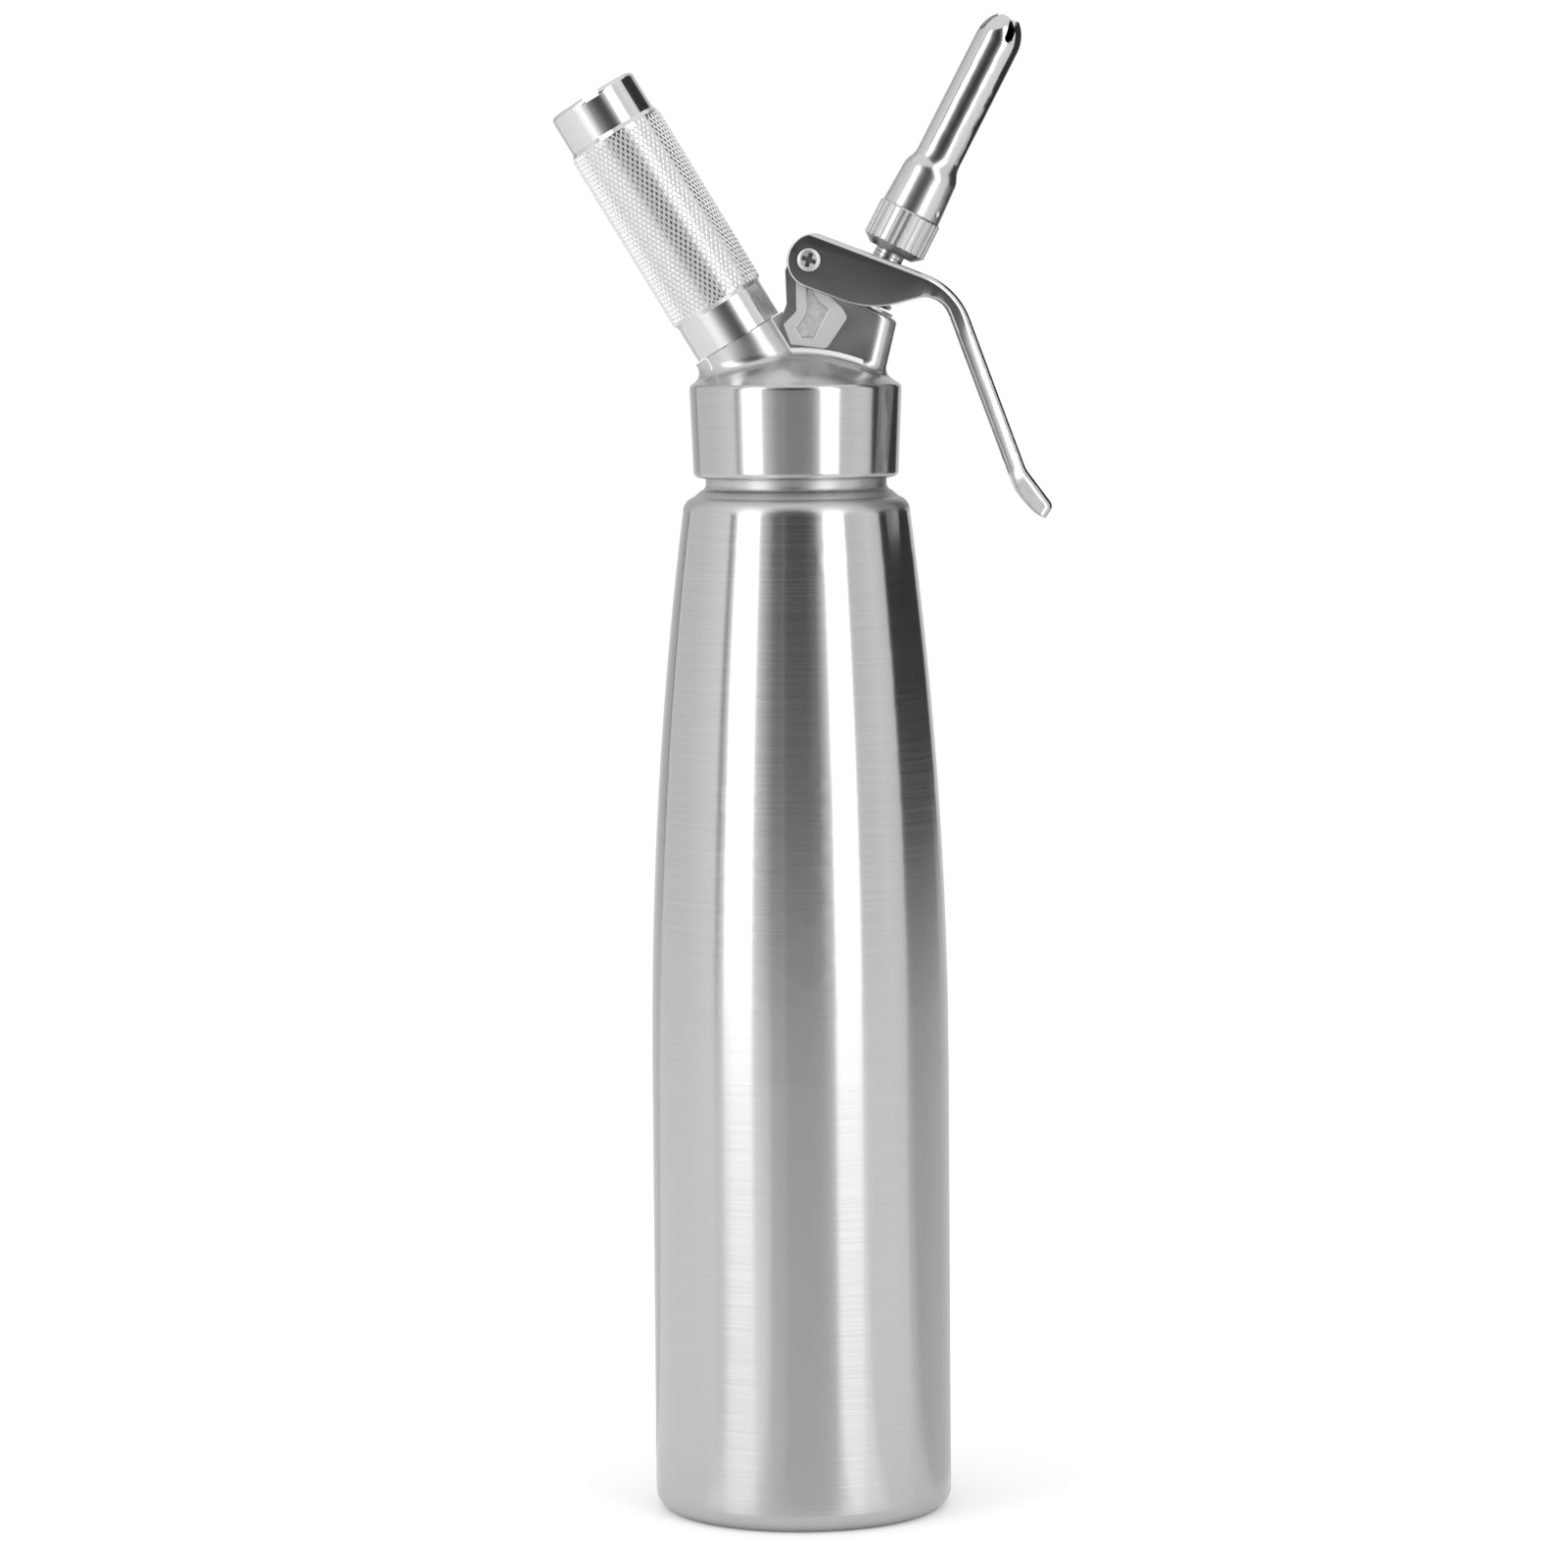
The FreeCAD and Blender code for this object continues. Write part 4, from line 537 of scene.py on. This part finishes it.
def diamond_knurl_tree():
    """Truncated diamonds in staggered rows round a cylinder that stands on the origin."""
    tree, sizes = new_tree("Diamond knurl", ("Row Spacing", "Start", "Root", "Depth", "Flat"),
                           ("Columns", "Rows"))
    columns = sizes["Columns"]
    total = add_node(tree, "ShaderNodeMath", {0: columns, 1: sizes["Rows"]}, operation="MULTIPLY")
    points = add_node(tree, "GeometryNodeMeshLine", {"Count": total})
    index = add_node(tree, "GeometryNodeInputIndex")
    row = add_node(tree, "FunctionNodeIntegerMath", {0: index, 1: columns}, operation="DIVIDE_FLOOR")
    odd = add_node(tree, "FunctionNodeIntegerMath", {0: row, 1: 2}, operation="MODULO")
    # A row is one full turn, so the angle runs on from row to row; every other row is half a diamond ahead.
    step = add_node(tree, "ShaderNodeMath", {0: math.tau, 1: columns}, operation="DIVIDE")
    steps = add_node(tree, "ShaderNodeMath", {0: odd, 1: 0.5, 2: index}, operation="MULTIPLY_ADD")
    angle = add_node(tree, "ShaderNodeMath", {0: steps, 1: step}, operation="MULTIPLY")
    height = add_node(tree, "ShaderNodeMath", {0: row, 1: sizes["Row Spacing"], 2: sizes["Start"]},
                      operation="MULTIPLY_ADD")
    unturned = add_node(tree, "ShaderNodeCombineXYZ", {"X": sizes["Root"], "Z": height})
    place = add_node(tree, "ShaderNodeVectorRotate", {"Vector": unturned, "Angle": angle},
                     rotation_type="Z_AXIS")
    spread = add_node(tree, "GeometryNodeSetPosition", {"Geometry": points, "Position": place})
    facing = add_node(tree, "ShaderNodeCombineXYZ", {"Y": math.pi / 2, "Z": angle})
    # A cone with four sides has its corners on its X and Y axes: X lies along the grip and Y round it.
    diamond = add_node(tree, "GeometryNodeMeshCone", {
        "Vertices": 4, "Radius Bottom": 1.0, "Radius Top": sizes["Flat"], "Depth": 1.0})
    arc = add_node(tree, "ShaderNodeMath", {0: step, 1: sizes["Root"]}, operation="MULTIPLY")
    half_arc = add_node(tree, "ShaderNodeMath", {0: arc, 1: 0.5}, operation="MULTIPLY")
    size = add_node(tree, "ShaderNodeCombineXYZ", {
        "X": sizes["Row Spacing"], "Y": half_arc, "Z": sizes["Depth"]})
    diamonds = add_node(tree, "GeometryNodeInstanceOnPoints", {
        "Points": spread, "Instance": diamond, "Rotation": facing, "Scale": size})
    return finish_tree(tree, diamonds, "knurl")


def thread_tree(finish):
    """A ridge wound as a helix, tapered to nothing at both ends."""
    tree, sizes = new_tree("Thread ridge", ("Turns", "Radius", "Start", "Pitch", "Height"))
    rise = add_node(tree, "ShaderNodeMath", {0: sizes["Turns"], 1: sizes["Pitch"]}, operation="MULTIPLY")
    helix = add_node(tree, "GeometryNodeCurveSpiral", {
        "Resolution": 64, "Rotations": sizes["Turns"], "Start Radius": sizes["Radius"],
        "End Radius": sizes["Radius"], "Height": rise})
    lift = add_node(tree, "ShaderNodeCombineXYZ", {"Z": sizes["Start"]})
    raised = add_node(tree, "GeometryNodeSetPosition", {"Geometry": helix, "Offset": lift})
    upright = add_node(tree, "GeometryNodeSetCurveNormal", {"Curve": raised}, mode="Z_UP")
    run = add_node(tree, "GeometryNodeSplineParameter").outputs["Factor"]
    # The ridge grows from nothing over the first sixteenth of its run, and shrinks so over the last.
    from_end = add_node(tree, "ShaderNodeMath", {0: run, 1: 0.5}, operation="PINGPONG")
    taper = add_node(tree, "ShaderNodeMath", {0: from_end, 1: 16.0}, operation="MULTIPLY", use_clamp=True)
    sized = add_node(tree, "GeometryNodeSetCurveRadius", {"Curve": upright, "Radius": taper})
    ridge = add_node(tree, "GeometryNodeCurvePrimitiveCircle", {"Resolution": 4, "Radius": sizes["Height"]})
    wound = add_node(tree, "GeometryNodeCurveToMesh", {
        "Curve": sized, "Profile Curve": ridge, "Fill Caps": True})
    return finish_tree(tree, wound, finish)


def coil_tree():
    """A compression spring's round wire, wound as a plain helix."""
    tree, sizes = new_tree("Compression spring", ("Turns", "Radius", "Wire", "Length"))
    helix = add_node(tree, "GeometryNodeCurveSpiral", {
        "Resolution": 48, "Rotations": sizes["Turns"], "Start Radius": sizes["Radius"],
        "End Radius": sizes["Radius"], "Height": sizes["Length"]})
    wire = add_node(tree, "GeometryNodeCurvePrimitiveCircle", {"Resolution": 14, "Radius": sizes["Wire"]})
    wound = add_node(tree, "GeometryNodeCurveToMesh", {
        "Curve": helix, "Profile Curve": wire, "Fill Caps": True})
    smooth = add_node(tree, "GeometryNodeSetShadeSmooth", {"Geometry": wound})
    return finish_tree(tree, smooth, "spring")


# ---------------------------------------------------------------- meshes

def face_outward(piece):
    """Merges a closed mesh's doubles and makes its faces point outwards."""
    mesh = bmesh.new()
    mesh.from_mesh(piece.data)
    bmesh.ops.remove_doubles(mesh, verts=mesh.verts, dist=MERGE)
    bmesh.ops.recalc_face_normals(mesh, faces=mesh.faces)
    mesh.to_mesh(piece.data)
    mesh.free()


def cut_box(piece, size, place):
    """Cuts a box out of a piece's mesh."""
    mesh = bpy.data.meshes.new("Cutter")
    box = bmesh.new()
    bmesh.ops.create_cube(box, matrix=place @ Matrix.Diagonal((*size, 1.0)))
    box.to_mesh(mesh)
    box.free()
    cutter = new_object("Cutter", mesh)
    cut = piece.modifiers.new("Cut", "BOOLEAN")
    cut.operation = "DIFFERENCE"
    cut.solver = "EXACT"
    cut.object = cutter
    bake(piece, cut)
    bpy.data.objects.remove(cutter)


def clamped(value):
    return min(max(value, 0.0), 1.0)


def eased_step(value):
    """A soft step from 0 to 1."""
    value = clamped(value)
    return value * value * (3.0 - 2.0 * value)


# The handle's crown: across its thickness from the inner edge, and how much of the full drop is reached.
CROWN = ((0.0, 0.0), (0.25, 0.27), (0.4, 0.485), (0.5, 0.66), (0.6, 0.85), (0.675, 0.955), (0.75, 0.995),
         (1.0, 1.0))


def crown(across):
    """How far the crowned side has fallen, from 0 at the handle's inner edge to 1 at its back."""
    for (low, before), (high, after) in zip(CROWN, CROWN[1:]):
        if across <= high:
            return before + (after - before) * (across - low) / (high - low)
    return 1.0


def crown_drop(place, sizes):
    """How far the lever's side is lowered at a place on the handle or the spoon."""
    run = (place - LEVER_BEND).dot(HANDLE_RUN)
    across = clamped(1.0 + (place - LEVER_BEND).dot(HANDLE_BACK) / HANDLE_THICKNESS)
    handle = sizes.depth * crown(across) * eased_step((run - sizes.reach / 3) / (sizes.reach * 2 / 3))
    proud = clamped(1.0 + (place - LEVER_KNEE).dot(SPOON_BACK) / SPOON_THICKNESS)
    on_spoon = eased_step(((place - LEVER_KNEE).dot(SPOON_RUN) + 2.0 * MM) / (4.0 * MM))
    return handle * (1.0 - on_spoon) + sizes.spoon_depth * proud * on_spoon


def slice_lever(mesh):
    """Cuts the lever below its bend into a grid that is fine enough to be crowned."""
    layers, rows, spoon_layers = 18, 14, 15
    handle_end = LEVER_KNEE + HANDLE_RUN * 4.0 * MM
    for step in range(layers + 1):
        depth = HANDLE_THICKNESS * (1 - step / layers)
        cut_below(mesh, LEVER_BEND - HANDLE_BACK * depth, HANDLE_BACK, LEVER_BEND)
    for row in range(rows + 1):
        cut_below(mesh, LEVER_BEND.lerp(handle_end, row / rows), HANDLE_RUN, LEVER_BEND)
    spoon_start = LEVER_KNEE - HANDLE_RUN * 3.0 * MM
    for step in range(1, spoon_layers + 1):
        depth = SPOON_THICKNESS * step / spoon_layers
        cut_below(mesh, LEVER_KNEE - SPOON_BACK * depth, SPOON_BACK, spoon_start)
    for row in range(-2, 15):
        cut_below(mesh, LEVER_KNEE + SPOON_RUN * row * MM, SPOON_RUN, spoon_start)


def cut_below(mesh, place, normal, start):
    """Adds edges where a plane crosses the faces that reach below a place on the handle."""
    faces = [face for face in mesh.faces
             if any((vertex.co - start).dot(HANDLE_RUN) > 0.0 for vertex in face.verts)]
    edges = list({edge for face in faces for edge in face.edges})
    vertices = list({vertex for face in faces for vertex in face.verts})
    bmesh.ops.bisect_plane(mesh, geom=vertices + edges + faces, dist=MERGE, plane_co=place, plane_no=normal)


# ---------------------------------------------------------------- operators

class DISPENSER_OT_finishes(bpy.types.Operator):
    """Makes every finish and puts it on the CAD pieces"""
    bl_idname = "dispenser.finishes"
    bl_label = "Finishes"

    def execute(self, context):
        tones = context.scene.dispenser_colours
        MATERIALS.update({
            # Fine rings pull each reflection into a clean upright stripe; the shoulder and neck are duller.
            "flask": ring_brushed_metal("Ring-brushed 304 stainless", tones.stainless, UPRIGHT,
                                        0.5 * MM, 0.19, 0.93, satin_from=SHOULDER_TOP),
            # The cap shows stripes like the flask's, and the dome soft lumpy lights.
            "head": cast_steel("Cast stainless, polished and turned", tones, 0.5 * MM),
            # Near mirrors, with hard edges between dark and light.
            "lever": polished_steel("Mop-polished stainless", tones.polished, 0.12),
            "tip": drawn_steel("Drawn and polished stainless", tones.polished, 0.1),
            # Softer lights on what is turned or rolled and not polished.
            "stem": ring_brushed_metal("Turned stainless, valve axis", tones.stainless, VALVE_AXIS,
                                       0.5 * MM, 0.24, 0.7, 5.0),
            "nut": ring_brushed_metal("Rolled stainless, nozzle nut", tones.polished, VALVE_AXIS,
                                      0.5 * MM, 0.33, 0.2, 5.0),
            "pivot": screw_steel("Turned stainless, pivot", tones.polished, 0.42),
            # Pale metal with one dark stripe along each end band, and a knurl that glitters.
            "holder": ring_brushed_metal("Turned aluminium", tones.aluminium, CHARGER_AXIS,
                                         0.4 * MM, 0.16, 0.8, 9.0),
            "knurl": knurled_aluminium("Knurled aluminium", tones.rolled, CHARGER_AXIS,
                                       HOLDER_RADIUS + 0.1 * MM, HOLDER_RADIUS + 0.32 * MM),
            # Dull and faintly blue, as plating is.
            "charger": ring_brushed_metal("Zinc-plated steel", tones.zinc, CHARGER_AXIS,
                                          1.0 * MM, 0.32, 0.3, 13.0),
            # Round wire with a thin light along it.
            "spring": polished_steel("Drawn spring wire", tones.spring, 0.22),
            # Matt, with no mirror image.
            "silicone": moulded_plastic("Silicone rubber", tones.silicone, 0.55),
            "acetal": moulded_plastic("Acetal", tones.acetal, 0.35),
        })
        for finish, nodes in (
            ("flask", ("flask",)),
            ("head", ("head_body",)),
            ("lever", ("lever",)),
            ("tip", ("decorating_tip",)),
            ("stem", ("valve_stem", "valve_plate", "spring_collar", "spring_washer")),
            ("nut", ("nozzle_nut",)),
            ("pivot", ("pivot_screw", "pivot_sleeve")),
            ("holder", ("charger_holder", "piercing_pin")),
            ("charger", ("gas_charger",)),
            ("spring", ("valve_spring",)),
            ("silicone", ("head_gasket", "inlet_seal", "check_valve", "stem_o_ring", "valve_gasket",
                          "nozzle_gasket")),
            ("acetal", ("valve_guide_bush",)),
        ):
            for node in nodes:
                cover(node, MATERIALS[finish])
        return {"FINISHED"}


class DISPENSER_OT_knurl(bpy.types.Operator):
    """Rolls the diamond knurl on the charger holder's grip"""
    bl_idname = "dispenser.knurl"
    bl_label = "Knurl"

    def execute(self, context):
        knurl = context.scene.dispenser_knurl
        grip = made_by(diamond_knurl_tree(), "holder_knurl", {
            "Columns": knurl.columns, "Rows": knurl.rows, "Row Spacing": knurl.row_spacing,
            "Start": HOLDER_FOOT + knurl.start, "Root": knurl.root, "Depth": knurl.depth,
            "Flat": knurl.flat}, CHARGER_AXIS)
        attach(grip, "charger_holder")
        return {"FINISHED"}


class DISPENSER_OT_threads(bpy.types.Operator):
    """Winds the threads of the flask's neck, the charger stud and the valve stem"""
    bl_idname = "dispenser.threads"
    bl_label = "Threads"

    def execute(self, context):
        sizes = context.scene.dispenser_threads
        for name, finish, axis, pitch, height, radius, (foot, top), body, slot in (
            ("flask_neck_thread", "flask", UPRIGHT, sizes.flask_pitch, sizes.flask_height,
             NECK_RADIUS, NECK_THREAD, "flask", "flask_steel"),
            ("charger_stud_thread", "stem", CHARGER_AXIS, sizes.stud_pitch, sizes.stud_height,
             STUD_RADIUS, STUD_THREAD, "head", "cast_steel"),
            ("valve_stem_thread", "stem", VALVE_AXIS, sizes.stem_pitch, sizes.stem_height,
             STEM_RADIUS, STEM_THREAD, "valve", "turned_steel"),
        ):
            ridge = made_by(thread_tree(finish), name, {
                "Turns": (top - foot) / pitch, "Radius": radius, "Start": foot, "Pitch": pitch,
                "Height": height}, axis)
            face_outward(ridge)
            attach(ridge, body)
        return {"FINISHED"}


class DISPENSER_OT_valve_spring(bpy.types.Operator):
    """Winds the return spring under the lever"""
    bl_idname = "dispenser.valve_spring"
    bl_label = "Valve spring"

    def execute(self, context):
        sizes = context.scene.dispenser_spring
        height = SPRING_TOP - SPRING_FOOT
        first_turn = VALVE_AXIS @ Matrix.Translation((0, 0, SPRING_FOOT + sizes.wire))
        spring = made_by(coil_tree(), "return_spring", {
            "Turns": sizes.turns, "Radius": sizes.radius, "Wire": sizes.wire,
            "Length": height - 2 * sizes.wire}, first_turn)
        face_outward(spring)
        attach(spring, "head")
        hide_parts("valve_spring")
        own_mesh(spring)
        return {"FINISHED"}


class DISPENSER_OT_lever(bpy.types.Operator):
    """Crowns the sides of the lever's handle and spoon, as the polishing wheel leaves them"""
    bl_idname = "dispenser.lever"
    bl_label = "Lever"

    def execute(self, context):
        sizes = context.scene.dispenser_lever
        lever = new_object("crowned_lever", NODES["lever"].data.copy())
        mesh = bmesh.new()
        mesh.from_mesh(lever.data)
        bmesh.ops.remove_doubles(mesh, verts=mesh.verts, dist=MERGE)
        slice_lever(mesh)
        for vertex in mesh.verts:
            vertex.co.y *= 1.0 - crown_drop(vertex.co, sizes) / HANDLE_HALF_WIDTH
        bmesh.ops.triangulate(mesh, faces=mesh.faces)
        mesh.to_mesh(lever.data)
        mesh.free()
        lever.data.set_sharp_from_angle(angle=math.radians(28))
        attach(lever, "lever")
        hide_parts("lever")
        return {"FINISHED"}


class DISPENSER_OT_pivot_screw(bpy.types.Operator):
    """Cuts the cross recess and the two rim notches into the pivot screw's head"""
    bl_idname = "dispenser.pivot_screw"
    bl_label = "Pivot screw"

    def execute(self, context):
        sizes = context.scene.dispenser_screw
        screw = new_object("crossed_pivot_screw", NODES["pivot_screw"].data.copy())
        face_outward(screw)
        rim = max(vertex.co.x for vertex in screw.data.vertices) - PIVOT.x
        arm = (sizes.cross_span, 2 * sizes.cross_depth, sizes.cross_width)
        notch = (sizes.notch, NOTCH_DEPTH * 2, NOTCH_REACH * 2)
        for size, turn, shift in ((arm, sizes.turn, 0.0), (arm, sizes.turn + math.pi / 2, 0.0),
                                  (notch, 0.0, rim), (notch, 0.0, -rim)):
            place = Matrix.Translation((PIVOT.x, SCREW_FRONT, PIVOT.z + shift))
            cut_box(screw, size, place @ Matrix.Rotation(turn, 4, "Y"))
        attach(screw, "head")
        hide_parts("pivot_screw")
        return {"FINISHED"}


class DISPENSER_OT_stage(bpy.types.Operator):
    """Sets the floor, the studio's lights and cards, the world and the camera"""
    bl_idname = "dispenser.stage"
    bl_label = "Studio"

    def execute(self, context):
        levels = context.scene.dispenser_studio
        scene = context.scene
        scene.view_settings.view_transform = "Standard"
        white_world(scene, levels)
        white_floor(levels)
        for name, azimuth, spread in SOFTBOXES:
            strip_softbox(name, levels.softbox, azimuth, spread)
        for name, distance, tones in WALLS:
            mirrored_wall(name, distance, tones)
        near_dark_card()
        for name, tones in FLOOR_FANS:
            mirrored_floor(name, tones)
        matched_camera(scene)
        return {"FINISHED"}


# ---------------------------------------------------------------- studio

# Distances are in metres from the object's axis, and azimuths in degrees: 0 is the front and 90 the right.
WALL_DISTANCE = 1.9
WALL_TOP = 2.4
WALL_KNEE = 0.5
SOFTBOX_DISTANCE = 1.5
SOFTBOX_TOP = 1.9
FLOOR_HALF_WIDTH = 30.0
FAN_START = 0.06
FAN_HEIGHT = 0.001
DARK_CARD_DISTANCE = 0.55
DARK_CARD_HEIGHTS = (0.15, 0.8)
DARK_CARD_AZIMUTHS = (92, 106, 120, 134, 148)

# Each softbox's azimuth and the angle that it fills.
SOFTBOXES = (("Left softbox", -49.2, 23.6), ("Right softbox", 37.4, 21.0))

# Each wall's distance, and its levels from azimuth to azimuth.
WALLS = (
    ("Dark front of the room", WALL_DISTANCE, (
        (-36, 0.95), (-29, 0.52), (-22, 0.2), (-16, 0.12), (-13.5, 0.22), (-11, 0.09),
        (-5, 0.07), (8, 0.07), (17, 0.2), (25, 0.9))),
    ("Right wall", WALL_DISTANCE, ((49, 0.8), (66, 0.88), (74, 0.98), (90, 0.86))),
    ("Dark right of the room", WALL_DISTANCE, ((91, 0.02), (141, 0.02))),
    ("Back of the room", WALL_DISTANCE, ((142, 0.4), (165, 0.7), (195, 0.7), (217, 0.5))),
    ("Back left corner", WALL_DISTANCE, ((-142, 0.26), (-137, 0.26))),
    ("Left wall", WALL_DISTANCE, ((-134, 0.78), (-100, 0.86), (-72, 1.06))),
    ("Gap beside the left softbox", 1.7, ((-69.5, 0.35), (-65, 0.35))),
)

# The floor's levels from azimuth to azimuth, as the lit room would show on it.
FLOOR_FANS = (
    ("Floor at the front", (
        (-60, 0.95), (-54, 1.18), (-38, 1.18), (-22, 0.82), (-10, 0.7), (20, 0.7), (25, 0.85),
        (28, 1.22), (46, 1.22), (51, 0.95))),
    ("Floor at the right", ((88, 0.82), (96, 0.66), (120, 0.66), (141, 0.66))),
    ("Floor at the back", ((141, 0.66), (180, 0.74), (219, 0.66))),
)


def white_world(scene, levels):
    """A plain white surround for the eye and for mirrors, at a plain level on matt surfaces."""
    world = bpy.data.worlds.new("Studio")
    world.use_nodes = True
    tree = world.node_tree
    tree.nodes.clear()
    rays = add_node(tree, "ShaderNodeLightPath").outputs
    seen = rays["Is Camera Ray"]
    for kind in ("Is Glossy Ray", "Is Transmission Ray"):
        seen = add_node(tree, "ShaderNodeMath", {0: seen, 1: rays[kind]}, operation="MAXIMUM")
    strength = add_node(tree, "ShaderNodeMapRange", {"Value": seen, "To Min": levels.world, "To Max": 1.0})
    light = add_node(tree, "ShaderNodeBackground", {"Color": WHITE, "Strength": strength})
    add_node(tree, "ShaderNodeOutputWorld", {"Surface": light})
    scene.world = world


def white_floor(levels):
    """A pale matt floor that keeps the object's shadow and fades to white for the eye."""
    mesh = bpy.data.meshes.new("Floor")
    half = FLOOR_HALF_WIDTH
    corners = [(-half, -half, 0), (half, -half, 0), (half, half, 0), (-half, half, 0)]
    mesh.from_pydata(corners, [], [(0, 1, 2, 3)])
    floor = new_object("Floor", mesh)
    material, tree = blank_material("White studio paper")
    seen = add_node(tree, "ShaderNodeLightPath").outputs["Is Camera Ray"]
    paper = add_node(tree, "ShaderNodeBsdfDiffuse", {"Color": tuple(levels.floor)})
    lift = add_node(tree, "ShaderNodeMath", {0: seen, 1: levels.glow}, operation="MULTIPLY")
    glow = add_node(tree, "ShaderNodeEmission", {"Color": WHITE, "Strength": lift})
    both = add_node(tree, "ShaderNodeAddShader", {0: paper, 1: glow})
    add_node(tree, "ShaderNodeOutputMaterial", {"Surface": both})
    mesh.materials.append(material)


def standing(azimuth, distance, height):
    """A place round the object's axis."""
    turn = math.radians(azimuth)
    return Vector((distance * math.sin(turn), -distance * math.cos(turn), height))


def strip_softbox(name, radiance, azimuth, spread):
    """A tall soft light that looks at the object's axis and fills an angle of spread as seen from there."""
    light = bpy.data.lights.new(name, "AREA")
    light.shape = "RECTANGLE"
    light.size = 2 * SOFTBOX_DISTANCE * math.tan(math.radians(spread / 2))
    light.size_y = SOFTBOX_TOP
    light.energy = radiance * math.pi * light.size * light.size_y
    box = new_object(name, light)
    box.location = standing(azimuth, SOFTBOX_DISTANCE, SOFTBOX_TOP / 2)
    box.rotation_euler = (math.pi / 2, 0, math.radians(azimuth))
    box.visible_camera = False


def mirrored_wall(name, distance, tones):
    """A curved wall that only mirrors see, from the floor up; tones are pairs of azimuth and level.

    Below its knee the floor before it lights it up, the more the lower, towards a level of 0.8."""
    rows = []
    levels = []
    for height, lift in ((0.0, 0.24), (WALL_KNEE, 0.0), (WALL_TOP, 0.0)):
        rows.append([standing(azimuth, distance, height) for azimuth, _ in tones])
        levels += [tone + (max(tone, 0.8) - tone) * lift for _, tone in tones]
    mirrored_card(name, rows, levels)


def near_dark_card():
    """A curved dark card that stands near the object's right and off the floor, for mirrors only."""
    rows = [[standing(azimuth, DARK_CARD_DISTANCE, height) for azimuth in DARK_CARD_AZIMUTHS]
            for height in DARK_CARD_HEIGHTS]
    mirrored_card("Dark card at the right", rows, [0.04] * 2 * len(DARK_CARD_AZIMUTHS))


def mirrored_floor(name, tones):
    """A flat fan just over the floor that only mirrors see; tones are pairs of azimuth and level."""
    rows = [[standing(azimuth, reach, FAN_HEIGHT) for azimuth, _ in tones]
            for reach in (FAN_START, WALL_DISTANCE)]
    mirrored_card(name, rows, [tone for _, tone in tones] * 2)


def mirrored_card(name, rows, levels):
    """A card with its own light, for mirrors only; it spans rows of points and has a level at each point."""
    columns = len(rows[0])
    points = [tuple(point) for row in rows for point in row]
    faces = [(corner, corner + 1, corner + columns + 1, corner + columns)
             for row in range(len(rows) - 1) for corner in range(row * columns, (row + 1) * columns - 1)]
    mesh = bpy.data.meshes.new(name)
    mesh.from_pydata(points, [], faces)
    tone = mesh.attributes.new("tone", "FLOAT", "POINT")
    tone.data.foreach_set("value", levels)
    card = new_object(name, mesh)
    material, tree = blank_material(name)
    strength = add_node(tree, "ShaderNodeAttribute", attribute_name="tone").outputs["Fac"]
    light = add_node(tree, "ShaderNodeEmission", {"Color": WHITE, "Strength": strength})
    add_node(tree, "ShaderNodeOutputMaterial", {"Surface": light})
    mesh.materials.append(material)
    card.visible_camera = False
    card.visible_diffuse = False
    card.visible_shadow = False
    card.visible_transmission = False


def matched_camera(scene):
    """A long lens a little above the object's middle, tilted down to it."""
    camera = bpy.data.cameras.new("Camera")
    camera.sensor_width = 36.0
    camera.lens = 130.3
    camera.clip_end = 200.0
    eye = new_object("Camera", camera)
    place = Vector((-0.0039, -1.52, 0.328))
    target = Vector((-0.0039, 0.0, 0.1963))
    roll = Matrix.Rotation(math.radians(-0.45), 4, "Z")
    look = (target - place).to_track_quat("-Z", "Y").to_matrix().to_4x4()
    eye.matrix_world = Matrix.Translation(place) @ look @ roll
    scene.camera = eye


# ---------------------------------------------------------------- panel and registration

class DISPENSER_PT_panel(bpy.types.Panel):
    """Lists the dispenser's pieces, their sizes and their colours"""
    bl_idname = "DISPENSER_PT_panel"
    bl_label = "Cream dispenser"
    bl_space_type = "VIEW_3D"
    bl_region_type = "UI"
    bl_category = "Dispenser"

    def draw(self, context):
        for group, kind, maker in SECTIONS:
            box = self.layout.box()
            box.label(text=maker.bl_label)
            for name in kind.__annotations__:
                box.prop(getattr(context.scene, group), name)
            box.operator(maker.bl_idname)


# Each group of settings by its name in the scene, with the operator that uses it.
SECTIONS = (
    ("dispenser_colours", FinishColours, DISPENSER_OT_finishes),
    ("dispenser_knurl", KnurlSizes, DISPENSER_OT_knurl),
    ("dispenser_threads", ThreadSizes, DISPENSER_OT_threads),
    ("dispenser_spring", SpringSizes, DISPENSER_OT_valve_spring),
    ("dispenser_lever", LeverSizes, DISPENSER_OT_lever),
    ("dispenser_screw", ScrewSizes, DISPENSER_OT_pivot_screw),
    ("dispenser_studio", StudioLevels, DISPENSER_OT_stage),
)
CLASSES = (*[kind for _, kind, _ in SECTIONS], *[maker for _, _, maker in SECTIONS], DISPENSER_PT_panel)


def register():
    for each in CLASSES:
        bpy.utils.register_class(each)
    for group, kind, _ in SECTIONS:
        setattr(bpy.types.Scene, group, bpy.props.PointerProperty(type=kind))


def unregister():
    for group, _, _ in SECTIONS:
        delattr(bpy.types.Scene, group)
    for each in reversed(CLASSES):
        bpy.utils.unregister_class(each)


def main():
    """Makes every piece in order."""
    register()
    bpy.ops.dispenser.finishes()
    bpy.ops.dispenser.knurl()
    bpy.ops.dispenser.threads()
    bpy.ops.dispenser.valve_spring()
    bpy.ops.dispenser.lever()
    bpy.ops.dispenser.pivot_screw()
    bpy.ops.dispenser.stage()


if __name__ == "__main__":
    main()
